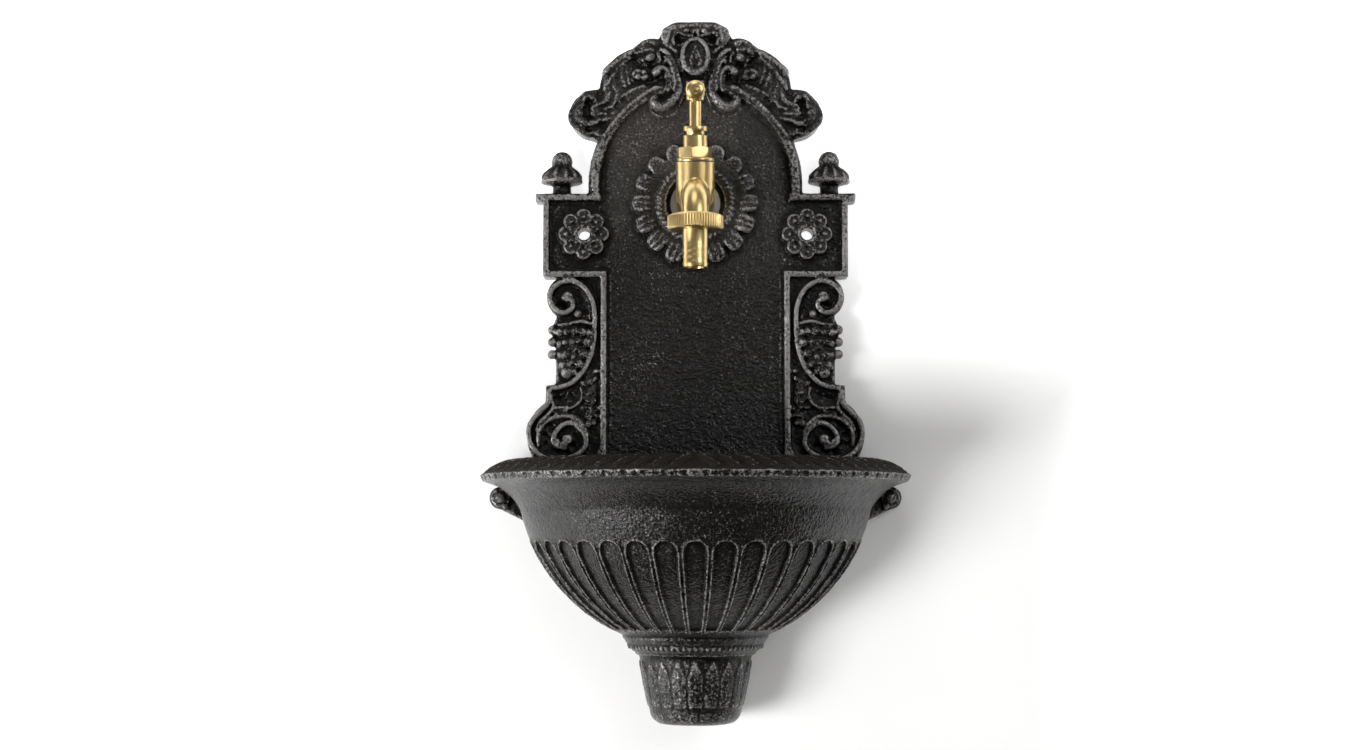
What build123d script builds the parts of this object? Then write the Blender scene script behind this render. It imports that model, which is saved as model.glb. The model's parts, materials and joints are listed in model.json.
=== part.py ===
from build123d import *
import os
from math import asin, atan2, cos, degrees, hypot, pi, radians, sin, sqrt

# Wall fountain in millimetres. X runs to the viewer's right, Y into the wall and Z up.
# The origin lies on the wall, midway between the two fixing holes, so a depth in front of the wall is -Y.

# Wall fixing
screw_pitch = 130.0
screw_hole = 7.0
screw_boss = 20.0

# Back panel plate
field_depth = 14.0
casting_wall = 5.0
arch_radius = 62.5
arch_level = 29.8
rim_level = -132.5
ledge_half = 93.5
ledge_level = 19.3
ledge_height = 4.8
block_half = 88.7
block_bottom = -25.1

# Raised mouldings of the panel
rib_width = 3.5
rib_height = 3.5
rib_draft = 15.0
arch_rib_width = 8.0
arch_rib_draft = 32.0
field_half = 51.5
bead_width = 2.8
bead_height = 4.0

# Side consoles: a large scroll over a smaller volute, with a bunch of grapes between
console_waist = 81.0
console_lip_reach = 5.8
console_lip = console_waist + console_lip_reach
console_lip_level = -88.0
console_lip_height = 10.5
volute_inset = 6.8
volute_x = console_waist - volute_inset
upper_volute_level = -36.7
upper_volute_radius = 12.4
lower_volute_level = -117.8
lower_volute_radius = 23.4
volute_eye = 2.9
grape_radius = 2.8
grape_pitch = 5.9
grape_rows = (4, 4, 4, 2)
grape_level = -56.0
grape_row_pitch = 1.2 * grape_pitch
# Bands of the console as steps from a volute's eye, sideways and up
upper_band = (
    (-2.7, -49.9),
    (-13.3, -34.9),
    (-15.8, -16.5),
    (-12.6, 1.5),
    (0.0, 9.4),
    (10.4, -0.2),
    (1.2, -9.2),
    (-3.2, -5.2),
    (-1.0, -0.8),
)
lower_band = (
    (20.4, 9.0),
    (21.8, -2.0),
    (13.0, -12.2),
    (0.0, -13.0),
    (-11.2, -3.0),
    (-1.0, 7.8),
    (8.0, -1.8),
    (0.0, -6.6),
)
lower_eye_drop = 1.8

# Crown over the arch
crown_rise = 33.5
crown_step = 2.6
crown_inset = 2.2
scroll_width = 3.4
scroll_height = 7.0
cartouche_width = 17.0
cartouche_height = 21.0
cartouche_level = 104.5
cartouche_rim = 2.2
cartouche_relief = 8.0
shell_curl = 4.4
bud_radius = 3.6
# Crown lobes and scrolls as places out from the middle and down from the top
crown_edge = (
    (11.0, 0.0),
    (17.2, 3.2),
    (21.3, 10.4),
    (27.5, 9.8),
    (35.1, 15.6),
    (49.0, 23.0),
    (56.2, 40.1),
    (66.2, 42.6),
    (74.2, 56.0),
    (70.6, 63.4),
    (60.0, 69.0),
)
crown_scroll_path = (
    (18.8, 13.9),
    (8.9, 28.0),
    (6.9, 37.7),
    (9.6, 47.8),
    (16.5, 54.6),
    (24.4, 51.6),
    (22.6, 45.6),
)
shell_curl_place = (15.6, 7.6)
crown_bud_places = ((18.8, 31.8), (25.6, 22.0), (30.4, 32.6))
leaf_curl_place = (65.4, 54.0)

# Finials on the shoulders
finial_x = 78.2
finial_depth = 9.0
finial_stem = 10.9
finial_cap = 24.5
finial_neck = 10.0
finial_knob = 12.4
finial_height = 25.4
finial_stem_height = 5.0
finial_cap_rise = 1.6
finial_cap_edge = 2.0

# Rosettes
small_petals = 8
small_petal_radius = 4.6
small_petal_circle = 10.2
small_petal_height = 3.0
large_petals = 16
large_petal_length = 12.4
large_petal_width = 10.4
large_petal_circle = 30.6
large_petal_height = 4.0
rope_radius = 21.3
rope_width = 4.0

# Tongue of the panel behind the bowl, with its two scroll ears
tongue_depth = 9.0
tongue_half = 90.0
tongue_drop = 78.0
ear_x = 113.0
ear_level = -153.2
ear_radius = 6.6
ear_relief = 3.0

# Bowl
bowl_axis = 28.0
bowl_radius = 102.4
bowl_level = -137.4
bowl_wall = 5.0
lip_radius = 122.8
lip_fall = 8.5
lip_edge = 3.2
lip_under = 6.0
lip_undercut = 1.5
lip_swell = 2.0
lip_swell_drop = 0.36
lip_inner = 95.5
cove_radius = 113.0
cove_drop = 28.0
cove_hollow = (0.7, 0.56)
collar_radius = 41.5
collar_level = bowl_level - sqrt(bowl_radius**2 - collar_radius**2)
collar_height = 11.7
collar_hollow = (0.64, 0.46)
neck_level = collar_level - collar_height
neck_radius = 32.0
neck_length = 38.4
foot_level = neck_level - neck_length
foot_radius = 26.0
foot_round = 7.5
foot_bulge = 0.3
drain_radius = 11.0
gadroons = 18
gadroon_top = -177.0
gadroon_depth = 1.4
gadroon_rib = 3.6
gadroon_groove = 1.2
gadroon_groove_depth = 0.8

# Leaves: slanting blades on the lip and pointed ones up the neck
lip_leaves_aside = 17
lip_leaf_pitch = 5.1
lip_leaf_width = 3.6
lip_leaf_lean = 27.0
lip_leaf_margin = 2.4
leaf_relief = 0.9
neck_leaves_aside = 5
neck_leaf_pitch = 18.0
neck_leaf_width = 6.6
neck_leaf_margin = 3.0
neck_leaf_point = 9.0

# Bolts between bowl and panel
bolt_x = 60.0
bolt_level = -152.0
bolt_size = 6.0
bolt_hole = 6.6
bolt_head = 10.0
bolt_head_height = 4.0
bolt_washer = 18.0
bolt_washer_thickness = 1.6
nut_pocket = 14.0
nut_pocket_depth = 6.0
nut_height = 5.0

# Tap: half inch inlet through the large rosette
inlet_level = 18.0
inlet_thread = 20.955
inlet_reach = 16.0
inlet_relief = 2.0
inlet_relief_size = 18.6
inlet_boss = 22.0
inlet_hole = 22.0
recess_radius = 17.0
face_washer = 29.0
washer_thickness = 2.0
back_washer = 34.0
backnut_size = 27.0
backnut_height = 6.0
washer_clearance = 0.12

# Valve, on an axis that leans towards the viewer
valve_depth = 52.0
valve_lean = 8.0
chamber_radius = 11.0
chamber_top = 17.8
chamber_taper = 4.0
chamber_bottom = -15.0
chamber_foot = 7.5
chamber_edge = 1.5
seat_height = -4.0
seat_radius = 4.5
valve_room = 7.2
bonnet_thread = 17.0
bonnet_reach = 9.0
gasket_thickness = 0.6
bonnet_flange = 21.5
bonnet_flange_height = 1.9
bonnet_hex = 17.0
bonnet_hex_height = 6.0
bonnet_hex_turn = 12.0
bonnet_neck = 13.8
bonnet_neck_height = 6.4
stuffing_bore = 10.0
stuffing_depth = 8.5
packing_height = 3.8
gland_gap = 2.5
gland_collar = 13.6
gland_collar_height = 2.7
running_fit = 0.05

# Spindle, tee bar and valve plate
stem_size = 6.8
screw_size = 9.0
valve_lift = 4.0
bar_height = 57.2
bar_length = 45.0
bar_size = 6.6
bar_knob = 10.6
bar_knob_length = 7.0
bar_hub = 10.0
bar_chamfer = 1.0
valve_washer_size = 12.4
valve_washer_thickness = 2.8
jumper_size = 12.8
jumper_plate = 2.0
jumper_stem = 4.8
jumper_stem_length = 8.0
jumper_stud = 3.0
jumper_nut_size = 5.5
jumper_nut_height = 2.4
end_play = 0.3

# Spout and hose union
spout_depth = 74.0
spout_bend = 14.0
spout_outside = 14.0
spout_bore = 9.5
spout_thread = 26.2
spout_end = -1.2
spout_disc = 4.2
union_outside = 31.0
union_top = 2.4
union_teeth = 60
union_tooth = 0.5
union_flange = 1.6
union_clearance = 0.3
seal_thickness = 1.4
tail_collar = 24.0
tail_collar_thickness = 1.6
tail_outside = 14.1
tail_bottom = -26.7
barbs = 4
barb_pitch = 3.4
barb_depth = 0.6
barb_step = 0.2
waterway_radius = 3.0
waterway_start = 16.0
waterway_level = -10.0
inlet_bore = 6.5


def on_face(depth):
    """Upright plane a given depth in front of the wall, facing the viewer."""
    return Plane.XZ.offset(depth)


def both_sides(x, z):
    """A pair of places mirrored left and right."""
    return [(x, z), (-x, z)]


def bead(points, width, depth):
    """Flat strip of one width that follows a smooth curve, with its mirror image."""
    with BuildSketch(on_face(depth)) as strip:
        with BuildLine():
            Spline(*points)
        trace(line_width=width)
        mirror(about=Plane.YZ)
    return strip.sketch


def turned(section, *points):
    """Closed profile of straight runs, for turning about the section's upright axis."""
    with BuildSketch(section) as profile:
        with BuildLine():
            Polyline(*points, close=True)
        make_face()
    return profile.sketch


def below_crown(place):
    """Place on the crown, given out from the middle and down from the top."""
    return place[0], crown_top - place[1]


def between(start, end, shares):
    """Place between two others, with a share of the way across and another down."""
    return tuple(a + (b - a) * share for a, b, share in zip(start, end, shares))


def from_eye(eye_level, steps):
    """Places of a console band, given as steps from a volute's eye."""
    return [(volute_x + aside, eye_level + up) for aside, up in steps]


# Panel: finial, a turned knob over a domed cap, with a flat back on the wall
finial_base = ledge_level + ledge_height
finial_root = finial_base - ledge_height / 2
cap_under = finial_base + finial_stem_height
cap_edge = cap_under + finial_cap_rise
cap_top = cap_edge + finial_cap_edge
knob_center = finial_base + finial_height - finial_knob / 2
neck_height = knob_center - sqrt(finial_knob**2 - finial_neck**2) / 2
dome_shift = (finial_cap**2 - finial_neck**2) / (8 * (neck_height - cap_top))
dome_center = (neck_height + cap_top) / 2 - dome_shift
dome_radius = hypot(finial_cap / 2, cap_top - dome_center)
dome_start = degrees(atan2(cap_top - dome_center, finial_cap / 2))
dome_end = degrees(atan2(neck_height - dome_center, finial_neck / 2))
knob_start = degrees(atan2(neck_height - knob_center, finial_neck / 2))
with BuildPart() as finial:
    with BuildSketch(Plane((0, -finial_depth, 0), (0, 1, 0), (1, 0, 0))):
        with BuildLine():
            Polyline(
                (0, finial_base + finial_height),
                (0, finial_root),
                (finial_stem / 2, finial_root),
                (finial_stem / 2, cap_under),
                (finial_cap / 2, cap_edge),
                (finial_cap / 2, cap_top),
            )
            CenterArc((0, dome_center), dome_radius, dome_start, dome_end - dome_start)
            CenterArc((0, knob_center), finial_knob / 2, knob_start, 90 - knob_start)
        make_face()
    revolve(axis=Axis((0, -finial_depth, 0), (0, 0, 1)))
    split(bisect_by=Plane.XZ, keep=Keep.TOP)

# Panel: plate, crown, consoles and tongue in outline
crown_top = arch_level + arch_radius + crown_rise
arch_inner = arch_radius - arch_rib_width
crown_points = [below_crown(place) for place in crown_edge]
with BuildSketch(on_face(0)) as crown_outline:
    with BuildLine():
        Line((0, arch_level), (0, crown_top))
        Line((0, crown_top), crown_points[0])
        for start in range(0, len(crown_points) - 2, 2):
            ThreePointArc(*crown_points[start : start + 3])
        Line(crown_points[-1], (0, arch_level))
    make_face()
    mirror(about=Plane.YZ)

with BuildPart() as back_panel:
    with BuildSketch(on_face(0)):
        with Locations((0, (arch_level + rim_level) / 2)):
            Rectangle(2 * arch_radius, arch_level - rim_level)
        with Locations((0, arch_level)):
            Circle(arch_radius)
        with Locations((0, (ledge_level + block_bottom) / 2)):
            Rectangle(2 * block_half, ledge_level - block_bottom)
        with Locations((0, ledge_level + ledge_height / 2)):
            Rectangle(2 * ledge_half, ledge_height)
        with Locations(*both_sides(volute_x, upper_volute_level)):
            Circle(upper_volute_radius)
        with Locations(*both_sides(volute_x, lower_volute_level)):
            Circle(lower_volute_radius)
        with BuildLine():
            Polyline(
                (field_half, block_bottom + rib_width),
                (volute_x, block_bottom + rib_width),
                (console_waist, upper_volute_level - upper_volute_radius),
                (console_waist + bead_width, grape_level),
                (console_waist, grape_level - 2 * grape_pitch),
                (console_waist, console_lip_level),
                (console_lip, console_lip_level),
                (console_lip, console_lip_level - console_lip_height),
                (field_half, lower_volute_level),
                close=True,
            )
        make_face()
        mirror(about=Plane.YZ)
        add(crown_outline.sketch)
        with Locations((0, rim_level - lower_volute_radius / 2)):
            Rectangle(4 * ledge_half, lower_volute_radius, mode=Mode.SUBTRACT)
    extrude(amount=field_depth)
    with BuildSketch(on_face(0)):
        with Locations((0, rim_level)):
            Ellipse(tongue_half, tongue_drop)
        with Locations(*both_sides(ear_x, ear_level)):
            Circle(ear_radius)
        with BuildLine():
            Polyline(
                (0, ear_level + ear_radius),
                (ear_x, ear_level + ear_radius),
                (ear_x, ear_level - ear_radius),
                (ear_x - 2 * ear_radius, ear_level - 2 * ear_radius),
                (0, ear_level - 2 * ear_radius),
                close=True,
            )
        make_face()
        mirror(about=Plane.YZ)
    extrude(amount=tongue_depth)
    with BuildSketch(on_face(tongue_depth)):
        with Locations(*both_sides(ear_x, ear_level)):
            Circle(ear_radius - casting_wall / 4)
            Circle(ear_radius - casting_wall / 2 - bead_width / 2, mode=Mode.SUBTRACT)
    extrude(amount=ear_relief)

    # The back is hollow, with a rim on the wall and a boss round each fixing hole
    with BuildSketch(on_face(0)):
        with Locations((0, (arch_level + rim_level + casting_wall) / 2)):
            Rectangle(2 * (arch_radius - casting_wall), arch_level - rim_level - casting_wall)
        with Locations((0, arch_level)):
            Circle(arch_radius - casting_wall)
        with Locations((0, (ledge_level + block_bottom) / 2)):
            Rectangle(2 * (block_half - casting_wall), ledge_level - block_bottom - 2 * casting_wall)
        with Locations(*both_sides(screw_pitch / 2, 0)):
            Circle(screw_boss / 2, mode=Mode.SUBTRACT)
    extrude(amount=field_depth - casting_wall, mode=Mode.SUBTRACT)

    # Mouldings round the arch, the ledge, the blocks and the field
    with BuildSketch(on_face(field_depth)):
        with Locations((0, arch_level)):
            Circle(arch_radius)
            Circle(arch_inner, mode=Mode.SUBTRACT)
        with Locations((0, arch_level - arch_radius)):
            Rectangle(2 * arch_radius, 2 * arch_radius, mode=Mode.SUBTRACT)
        with Locations(*both_sides((arch_radius + arch_inner) / 2, (arch_level + ledge_level) / 2)):
            Rectangle(arch_rib_width, arch_level - ledge_level)
    extrude(amount=rib_height, taper=arch_rib_draft)
    with BuildSketch(on_face(field_depth)):
        with Locations(*both_sides((ledge_half + arch_inner) / 2, ledge_level + ledge_height / 2)):
            Rectangle(ledge_half - arch_inner, ledge_height)
    extrude(amount=rib_height, taper=rib_draft)
    with BuildSketch(on_face(field_depth)):
        with Locations(*both_sides(block_half - rib_width / 2, (ledge_level + block_bottom) / 2)):
            Rectangle(rib_width, ledge_level - block_bottom)
        with Locations(*both_sides((block_half + field_half) / 2, block_bottom + rib_width / 2)):
            Rectangle(block_half - field_half, rib_width)
        with Locations(*both_sides(field_half + rib_width / 2, (block_bottom + rim_level) / 2)):
            Rectangle(rib_width, block_bottom - rim_level)
    extrude(amount=rib_height)

    # Console scrolls, volute eyes and grapes
    upper_start = (console_lip - bead_width, console_lip_level - bead_width / 2)
    upper_scroll = bead([upper_start, *from_eye(upper_volute_level, upper_band)], bead_width, field_depth)
    lip_edge_x = console_lip - bead_width / 2
    lower_start = [
        (lip_edge_x, console_lip_level - bead_width),
        (lip_edge_x, console_lip_level - console_lip_height),
    ]
    lower_scroll = bead(lower_start + from_eye(lower_volute_level, lower_band), bead_width, field_depth)
    extrude(upper_scroll, amount=bead_height)
    extrude(lower_scroll, amount=bead_height)
    with BuildSketch(on_face(field_depth)):
        with Locations(*both_sides(volute_x, upper_volute_level)):
            Circle(volute_eye)
        with Locations(*both_sides(volute_x, lower_volute_level - lower_eye_drop)):
            Circle(volute_eye)
    extrude(amount=bead_height)
    grape_places = []
    for row, count in enumerate(grape_rows):
        for place in range(count):
            grape_x = volute_x + (place - (count - 1) / 2) * grape_pitch
            grape_z = grape_level - row * grape_row_pitch
            grape_places += [(grape_x, -field_depth, grape_z), (-grape_x, -field_depth, grape_z)]
    with Locations(*grape_places):
        Sphere(grape_radius, rotation=(90, 0, 0))

    # Crown relief: a raised step inside the outline, C-scrolls, cartouche, shell curls and buds
    with BuildSketch(on_face(field_depth)):
        offset(crown_outline.sketch, amount=-crown_inset)
        with Locations((0, arch_level)):
            Circle(arch_radius - arch_rib_width / 2, mode=Mode.SUBTRACT)
    extrude(amount=crown_step)
    crown_scroll = bead([below_crown(place) for place in crown_scroll_path], scroll_width, field_depth)
    extrude(crown_scroll, amount=scroll_height)
    with BuildSketch(on_face(field_depth)):
        with Locations((0, cartouche_level)):
            Ellipse(cartouche_width / 2, cartouche_height / 2)
    extrude(amount=cartouche_relief)
    with BuildSketch(on_face(field_depth + cartouche_relief)):
        with Locations((0, cartouche_level)):
            Ellipse(cartouche_width / 2 - cartouche_rim, cartouche_height / 2 - cartouche_rim)
    extrude(amount=-cartouche_rim, mode=Mode.SUBTRACT)
    with BuildSketch(on_face(field_depth)):
        with Locations((0, cartouche_level)):
            Ellipse(cartouche_width / 2 - 2 * cartouche_rim, cartouche_height / 2 - 2 * cartouche_rim)
        with Locations(*both_sides(*below_crown(shell_curl_place))):
            Circle(shell_curl)
        for place in crown_bud_places:
            with Locations(*both_sides(*below_crown(place))):
                Circle(bud_radius)
        with Locations(*both_sides(*below_crown(leaf_curl_place))):
            Circle(volute_eye + bead_width)
            Circle(volute_eye, mode=Mode.SUBTRACT)
    extrude(amount=scroll_height)
    add(finial.part.moved(Location((finial_x, 0, 0))))
    add(finial.part.moved(Location((-finial_x, 0, 0))))

    # Rosettes round the fixing holes and the tap
    for side in (-1, 1):
        with BuildSketch(on_face(field_depth)):
            with Locations((side * screw_pitch / 2, 0)):
                with PolarLocations(small_petal_circle, small_petals):
                    Circle(small_petal_radius)
                Circle(small_petal_circle)
        extrude(amount=small_petal_height)
    with BuildSketch(on_face(field_depth)):
        with Locations((0, inlet_level)):
            with PolarLocations(large_petal_circle, large_petals):
                Ellipse(large_petal_length / 2, large_petal_width / 2)
            Circle(large_petal_circle)
            Circle(rope_radius + rope_width / 2, mode=Mode.SUBTRACT)
    extrude(amount=large_petal_height)
    with BuildSketch(on_face(field_depth)):
        with Locations((0, inlet_level)):
            Circle(rope_radius + rope_width / 2)
    extrude(amount=large_petal_height)

    # Holes: wall screws, tap recess and hole, bowl bolts with nut pockets behind
    washer_seat = field_depth - washer_thickness
    relief = 4 * field_depth
    with BuildSketch(on_face(0)):
        with Locations(*both_sides(screw_pitch / 2, 0)):
            Circle(screw_hole / 2)
        with Locations((0, inlet_level)):
            Circle(inlet_hole / 2)
        with Locations(*both_sides(bolt_x, bolt_level)):
            Circle(bolt_hole / 2)
    extrude(amount=relief, mode=Mode.SUBTRACT)
    with BuildSketch(on_face(washer_seat)):
        with Locations((0, inlet_level)):
            Circle(recess_radius)
    extrude(amount=relief, mode=Mode.SUBTRACT)
    with BuildSketch(on_face(0)):
        with Locations(*both_sides(bolt_x, bolt_level)):
            Circle(nut_pocket / 2)
    extrude(amount=nut_pocket_depth, mode=Mode.SUBTRACT)

# Bowl: a turned form cut flat where it lies on the panel's tongue
bowl_back = Plane.XZ.offset(tongue_depth)
bowl_line = Axis((0, -bowl_axis, 0), (0, 0, 1))
bowl_section = Plane((0, -bowl_axis, 0), (0, 1, 0), (1, 0, 0))
lip_level = rim_level - lip_fall
inner_radius = bowl_radius - bowl_wall
cove_level = rim_level - cove_drop
cove_top = lip_level - lip_under
lip_crest = ((lip_inner + lip_radius) / 2 + lip_swell, rim_level - lip_swell_drop * lip_fall)
lip_bottom = (lip_radius - lip_undercut, lip_level - lip_edge)
cove_meet = sqrt(bowl_radius**2 - (cove_level - bowl_level) ** 2)
# Gadroon: one sunk tongue with a round top, narrowing down the sphere of the bowl
top_angle = asin((bowl_level - gadroon_top) / bowl_radius)
end_angle = asin((bowl_level - collar_level - gadroon_rib) / bowl_radius)
mid_angle = (top_angle + end_angle) / 2
tongue_reach = bowl_radius * sin((end_angle - top_angle) / 2)
tongue_top = bowl_radius * cos(top_angle) * sin(pi / gadroons / 2) - gadroon_rib / 2
tongue_end = bowl_radius * cos(end_angle) * sin(pi / gadroons / 2) - gadroon_rib / 3
tongue_start = bowl_radius - 2 * bowl_wall
tongue_plane = Plane(
    (0, -bowl_axis - tongue_start * cos(mid_angle), bowl_level - tongue_start * sin(mid_angle)),
    (1, 0, 0),
    (0, -cos(mid_angle), -sin(mid_angle)),
)
with BuildPart() as gadroon:
    with BuildSketch(tongue_plane):
        with BuildLine():
            Line((-tongue_end, -tongue_reach), (tongue_end, -tongue_reach))
            Line((tongue_end, -tongue_reach), (tongue_top, tongue_reach - tongue_top))
            ThreePointArc(
                (tongue_top, tongue_reach - tongue_top),
                (0, tongue_reach),
                (-tongue_top, tongue_reach - tongue_top),
            )
            Line((-tongue_top, tongue_reach - tongue_top), (-tongue_end, -tongue_reach))
        make_face()
    extrude(amount=4 * bowl_wall)
    with Locations((0, -bowl_axis, bowl_level)):
        Sphere(bowl_radius - gadroon_depth, mode=Mode.SUBTRACT)

# Groove down the middle of a rib, so that each tongue has its own thin rim
groove_radius = bowl_radius - gadroon_groove_depth
with BuildPart() as rib_groove:
    with BuildSketch(bowl_section):
        with BuildLine():
            for radius in (groove_radius, bowl_radius + bowl_wall):
                CenterArc((0, bowl_level), radius, -degrees(end_angle), degrees(end_angle - top_angle))
            for angle in (top_angle, end_angle):
                groove_start = (groove_radius * cos(angle), bowl_level - groove_radius * sin(angle))
                PolarLine(groove_start, bowl_wall + gadroon_groove_depth, -degrees(angle))
        make_face()
    extrude(amount=gadroon_groove / 2, both=True)

# Leaves of the lip: slanting blades cut from a ring that rises over the lip
leaf_ring = (lip_inner + 2 * lip_leaf_margin, lip_radius - lip_leaf_margin)
leaf_middle = sum(leaf_ring) / 2
leaf_length = (leaf_ring[1] - leaf_ring[0]) / cos(radians(lip_leaf_lean))
with BuildPart() as lip_leaves:
    with BuildSketch(bowl_section):
        with BuildLine():
            ThreePointArc(
                (lip_inner, rim_level + leaf_relief),
                (lip_crest[0], lip_crest[1] + leaf_relief),
                (lip_radius, lip_level + leaf_relief),
            )
            Polyline(
                (lip_radius, lip_level + leaf_relief),
                (lip_radius, lip_level),
                (lip_inner, lip_level),
                (lip_inner, rim_level + leaf_relief),
            )
        make_face()
    revolve(axis=bowl_line)
    with BuildSketch(Plane.XY.offset(lip_level)):
        for index in range(lip_leaves_aside):
            turn = lip_leaf_pitch * (index + 0.5)
            leaf_x = leaf_middle * sin(radians(turn))
            leaf_y = -bowl_axis - leaf_middle * cos(radians(turn))
            for side in (-1, 1):
                with Locations((side * leaf_x, leaf_y)):
                    Ellipse(leaf_length / 2, lip_leaf_width / 2, rotation=side * (turn + lip_leaf_lean) - 90)
    extrude(amount=2 * lip_fall, mode=Mode.INTERSECT)

# Leaves of the neck: pointed blades cut from a cone that stands over the neck
leaf_foot = foot_level + foot_round + neck_leaf_margin
leaf_tip = neck_level - neck_leaf_margin
leaf_inside = foot_radius - bowl_wall / 2
with BuildPart() as neck_leaves:
    for index in range(-neck_leaves_aside, neck_leaves_aside + 1):
        turn = radians(neck_leaf_pitch * index)
        facing = Vector(sin(turn), -cos(turn), 0)
        across = Vector(cos(turn), sin(turn), 0)
        with BuildSketch(Plane(Vector(0, -bowl_axis, 0) + facing * leaf_inside, across, facing)):
            with BuildLine():
                Polyline(
                    (-neck_leaf_width / 2, leaf_foot),
                    (neck_leaf_width / 2, leaf_foot),
                    (neck_leaf_width / 2, leaf_tip - neck_leaf_point),
                    (0, leaf_tip),
                    (-neck_leaf_width / 2, leaf_tip - neck_leaf_point),
                    close=True,
                )
            make_face()
        extrude(amount=3 * bowl_wall)
    neck_slope = (neck_radius - foot_radius) / (neck_level - foot_level - foot_round)
    revolve(
        turned(
            bowl_section,
            (0, foot_level),
            (foot_radius + leaf_relief - neck_slope * foot_round, foot_level),
            (neck_radius + leaf_relief, neck_level),
            (0, neck_level),
        ),
        axis=bowl_line,
        mode=Mode.INTERSECT,
    )

# Hollow of the bowl, with a flat wall at the back
with BuildPart() as bowl_hollow:
    with BuildSketch(bowl_section):
        with BuildLine():
            Line((0, rim_level), (lip_inner, rim_level))
            Line((lip_inner, rim_level), (inner_radius, bowl_level))
            ThreePointArc(
                (inner_radius, bowl_level),
                (inner_radius * cos(radians(45)), bowl_level - inner_radius * sin(radians(45))),
                (0, bowl_level - inner_radius),
            )
            Line((0, bowl_level - inner_radius), (0, rim_level))
        make_face()
    revolve(axis=bowl_line)
    split(bisect_by=on_face(field_depth), keep=Keep.TOP)

with BuildPart() as basin:
    with BuildSketch(bowl_section):
        with BuildLine():
            Line((0, rim_level), (lip_inner, rim_level))
            ThreePointArc(
                (lip_inner, rim_level),
                lip_crest,
                (lip_radius, lip_level),
            )
            Polyline((lip_radius, lip_level), lip_bottom, (cove_radius, cove_top))
            ThreePointArc(
                (cove_radius, cove_top),
                between((cove_radius, cove_top), (cove_meet, cove_level), cove_hollow),
                (cove_meet, cove_level),
            )
            ThreePointArc(
                (cove_meet, cove_level),
                (bowl_radius * cos(radians(45)), bowl_level - bowl_radius * sin(radians(45))),
                (collar_radius, collar_level),
            )
            ThreePointArc(
                (collar_radius, collar_level),
                between((collar_radius, collar_level), (neck_radius, neck_level), collar_hollow),
                (neck_radius, neck_level),
            )
            Line((neck_radius, neck_level), (foot_radius, foot_level + foot_round))
            ThreePointArc(
                (foot_radius, foot_level + foot_round),
                (foot_radius - foot_bulge * foot_round, foot_level + foot_bulge * foot_round),
                (foot_radius - foot_round, foot_level),
            )
            Line((foot_radius - foot_round, foot_level), (0, foot_level))
            Line((0, foot_level), (0, rim_level))
        make_face()
    revolve(axis=bowl_line)

    gadroon_turns = [180.0 / gadroons * (index - gadroons / 2) for index in range(gadroons + 1)]
    add([gadroon.part.rotate(bowl_line, turn) for turn in gadroon_turns], mode=Mode.SUBTRACT)
    groove_turns = [180.0 / gadroons * (index + 0.5) + 90.0 for index in range(gadroons)]
    add([rib_groove.part.rotate(bowl_line, turn) for turn in groove_turns], mode=Mode.SUBTRACT)
    add(lip_leaves.part)
    add(neck_leaves.part)
    split(bisect_by=bowl_back, keep=Keep.TOP)

    # Hollow of the bowl, then the drain and the bolt holes
    add(bowl_hollow.part, mode=Mode.SUBTRACT)
    with BuildSketch(Plane.XY.offset(foot_level)):
        with Locations((0, -bowl_axis)):
            Circle(drain_radius)
    extrude(amount=bowl_level - foot_level, mode=Mode.SUBTRACT)
    with BuildSketch(on_face(0)):
        with Locations(*both_sides(bolt_x, bolt_level)):
            Circle(bolt_hole / 2)
    extrude(amount=bowl_axis, mode=Mode.SUBTRACT)

# Bolts through the back of the bowl, with sealing washers inside it and nuts in the panel's pockets
bolt_end = nut_pocket_depth - nut_height
head_seat = field_depth + bolt_washer_thickness
with BuildPart() as basin_bolts:
    with BuildSketch(on_face(bolt_end)):
        with Locations(*both_sides(bolt_x, bolt_level)):
            Circle(bolt_size / 2)
    extrude(amount=head_seat - bolt_end)
    with BuildSketch(on_face(head_seat)):
        with Locations(*both_sides(bolt_x, bolt_level)):
            RegularPolygon(bolt_head / 2, 6, major_radius=False)
    extrude(amount=bolt_head_height)

with BuildPart() as basin_bolt_washers:
    with BuildSketch(on_face(field_depth)):
        with Locations(*both_sides(bolt_x, bolt_level)):
            Circle(bolt_washer / 2)
            Circle(bolt_hole / 2, mode=Mode.SUBTRACT)
    extrude(amount=bolt_washer_thickness)

with BuildPart() as basin_nuts:
    with BuildSketch(on_face(nut_pocket_depth - nut_height)):
        with Locations(*both_sides(bolt_x, bolt_level)):
            RegularPolygon(bolt_head / 2, 6, major_radius=False)
            Circle(bolt_size / 2 + running_fit, mode=Mode.SUBTRACT)
    extrude(amount=nut_height)

# Tap planes: the valve section holds radii across and heights along the leaning axis
valve_origin = Vector(0, -valve_depth, inlet_level)
valve_up = Vector(0, -sin(radians(valve_lean)), cos(radians(valve_lean)))
valve_axis = Axis(valve_origin, valve_up)
valve_section = Plane(valve_origin, (1, 0, 0), (0, -cos(radians(valve_lean)), -sin(radians(valve_lean))))
valve_plane = Plane(valve_origin, (1, 0, 0), valve_up)
spout_axis = Axis((0, -spout_depth, 0), (0, 0, 1))
spout_section = on_face(spout_depth)


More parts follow.
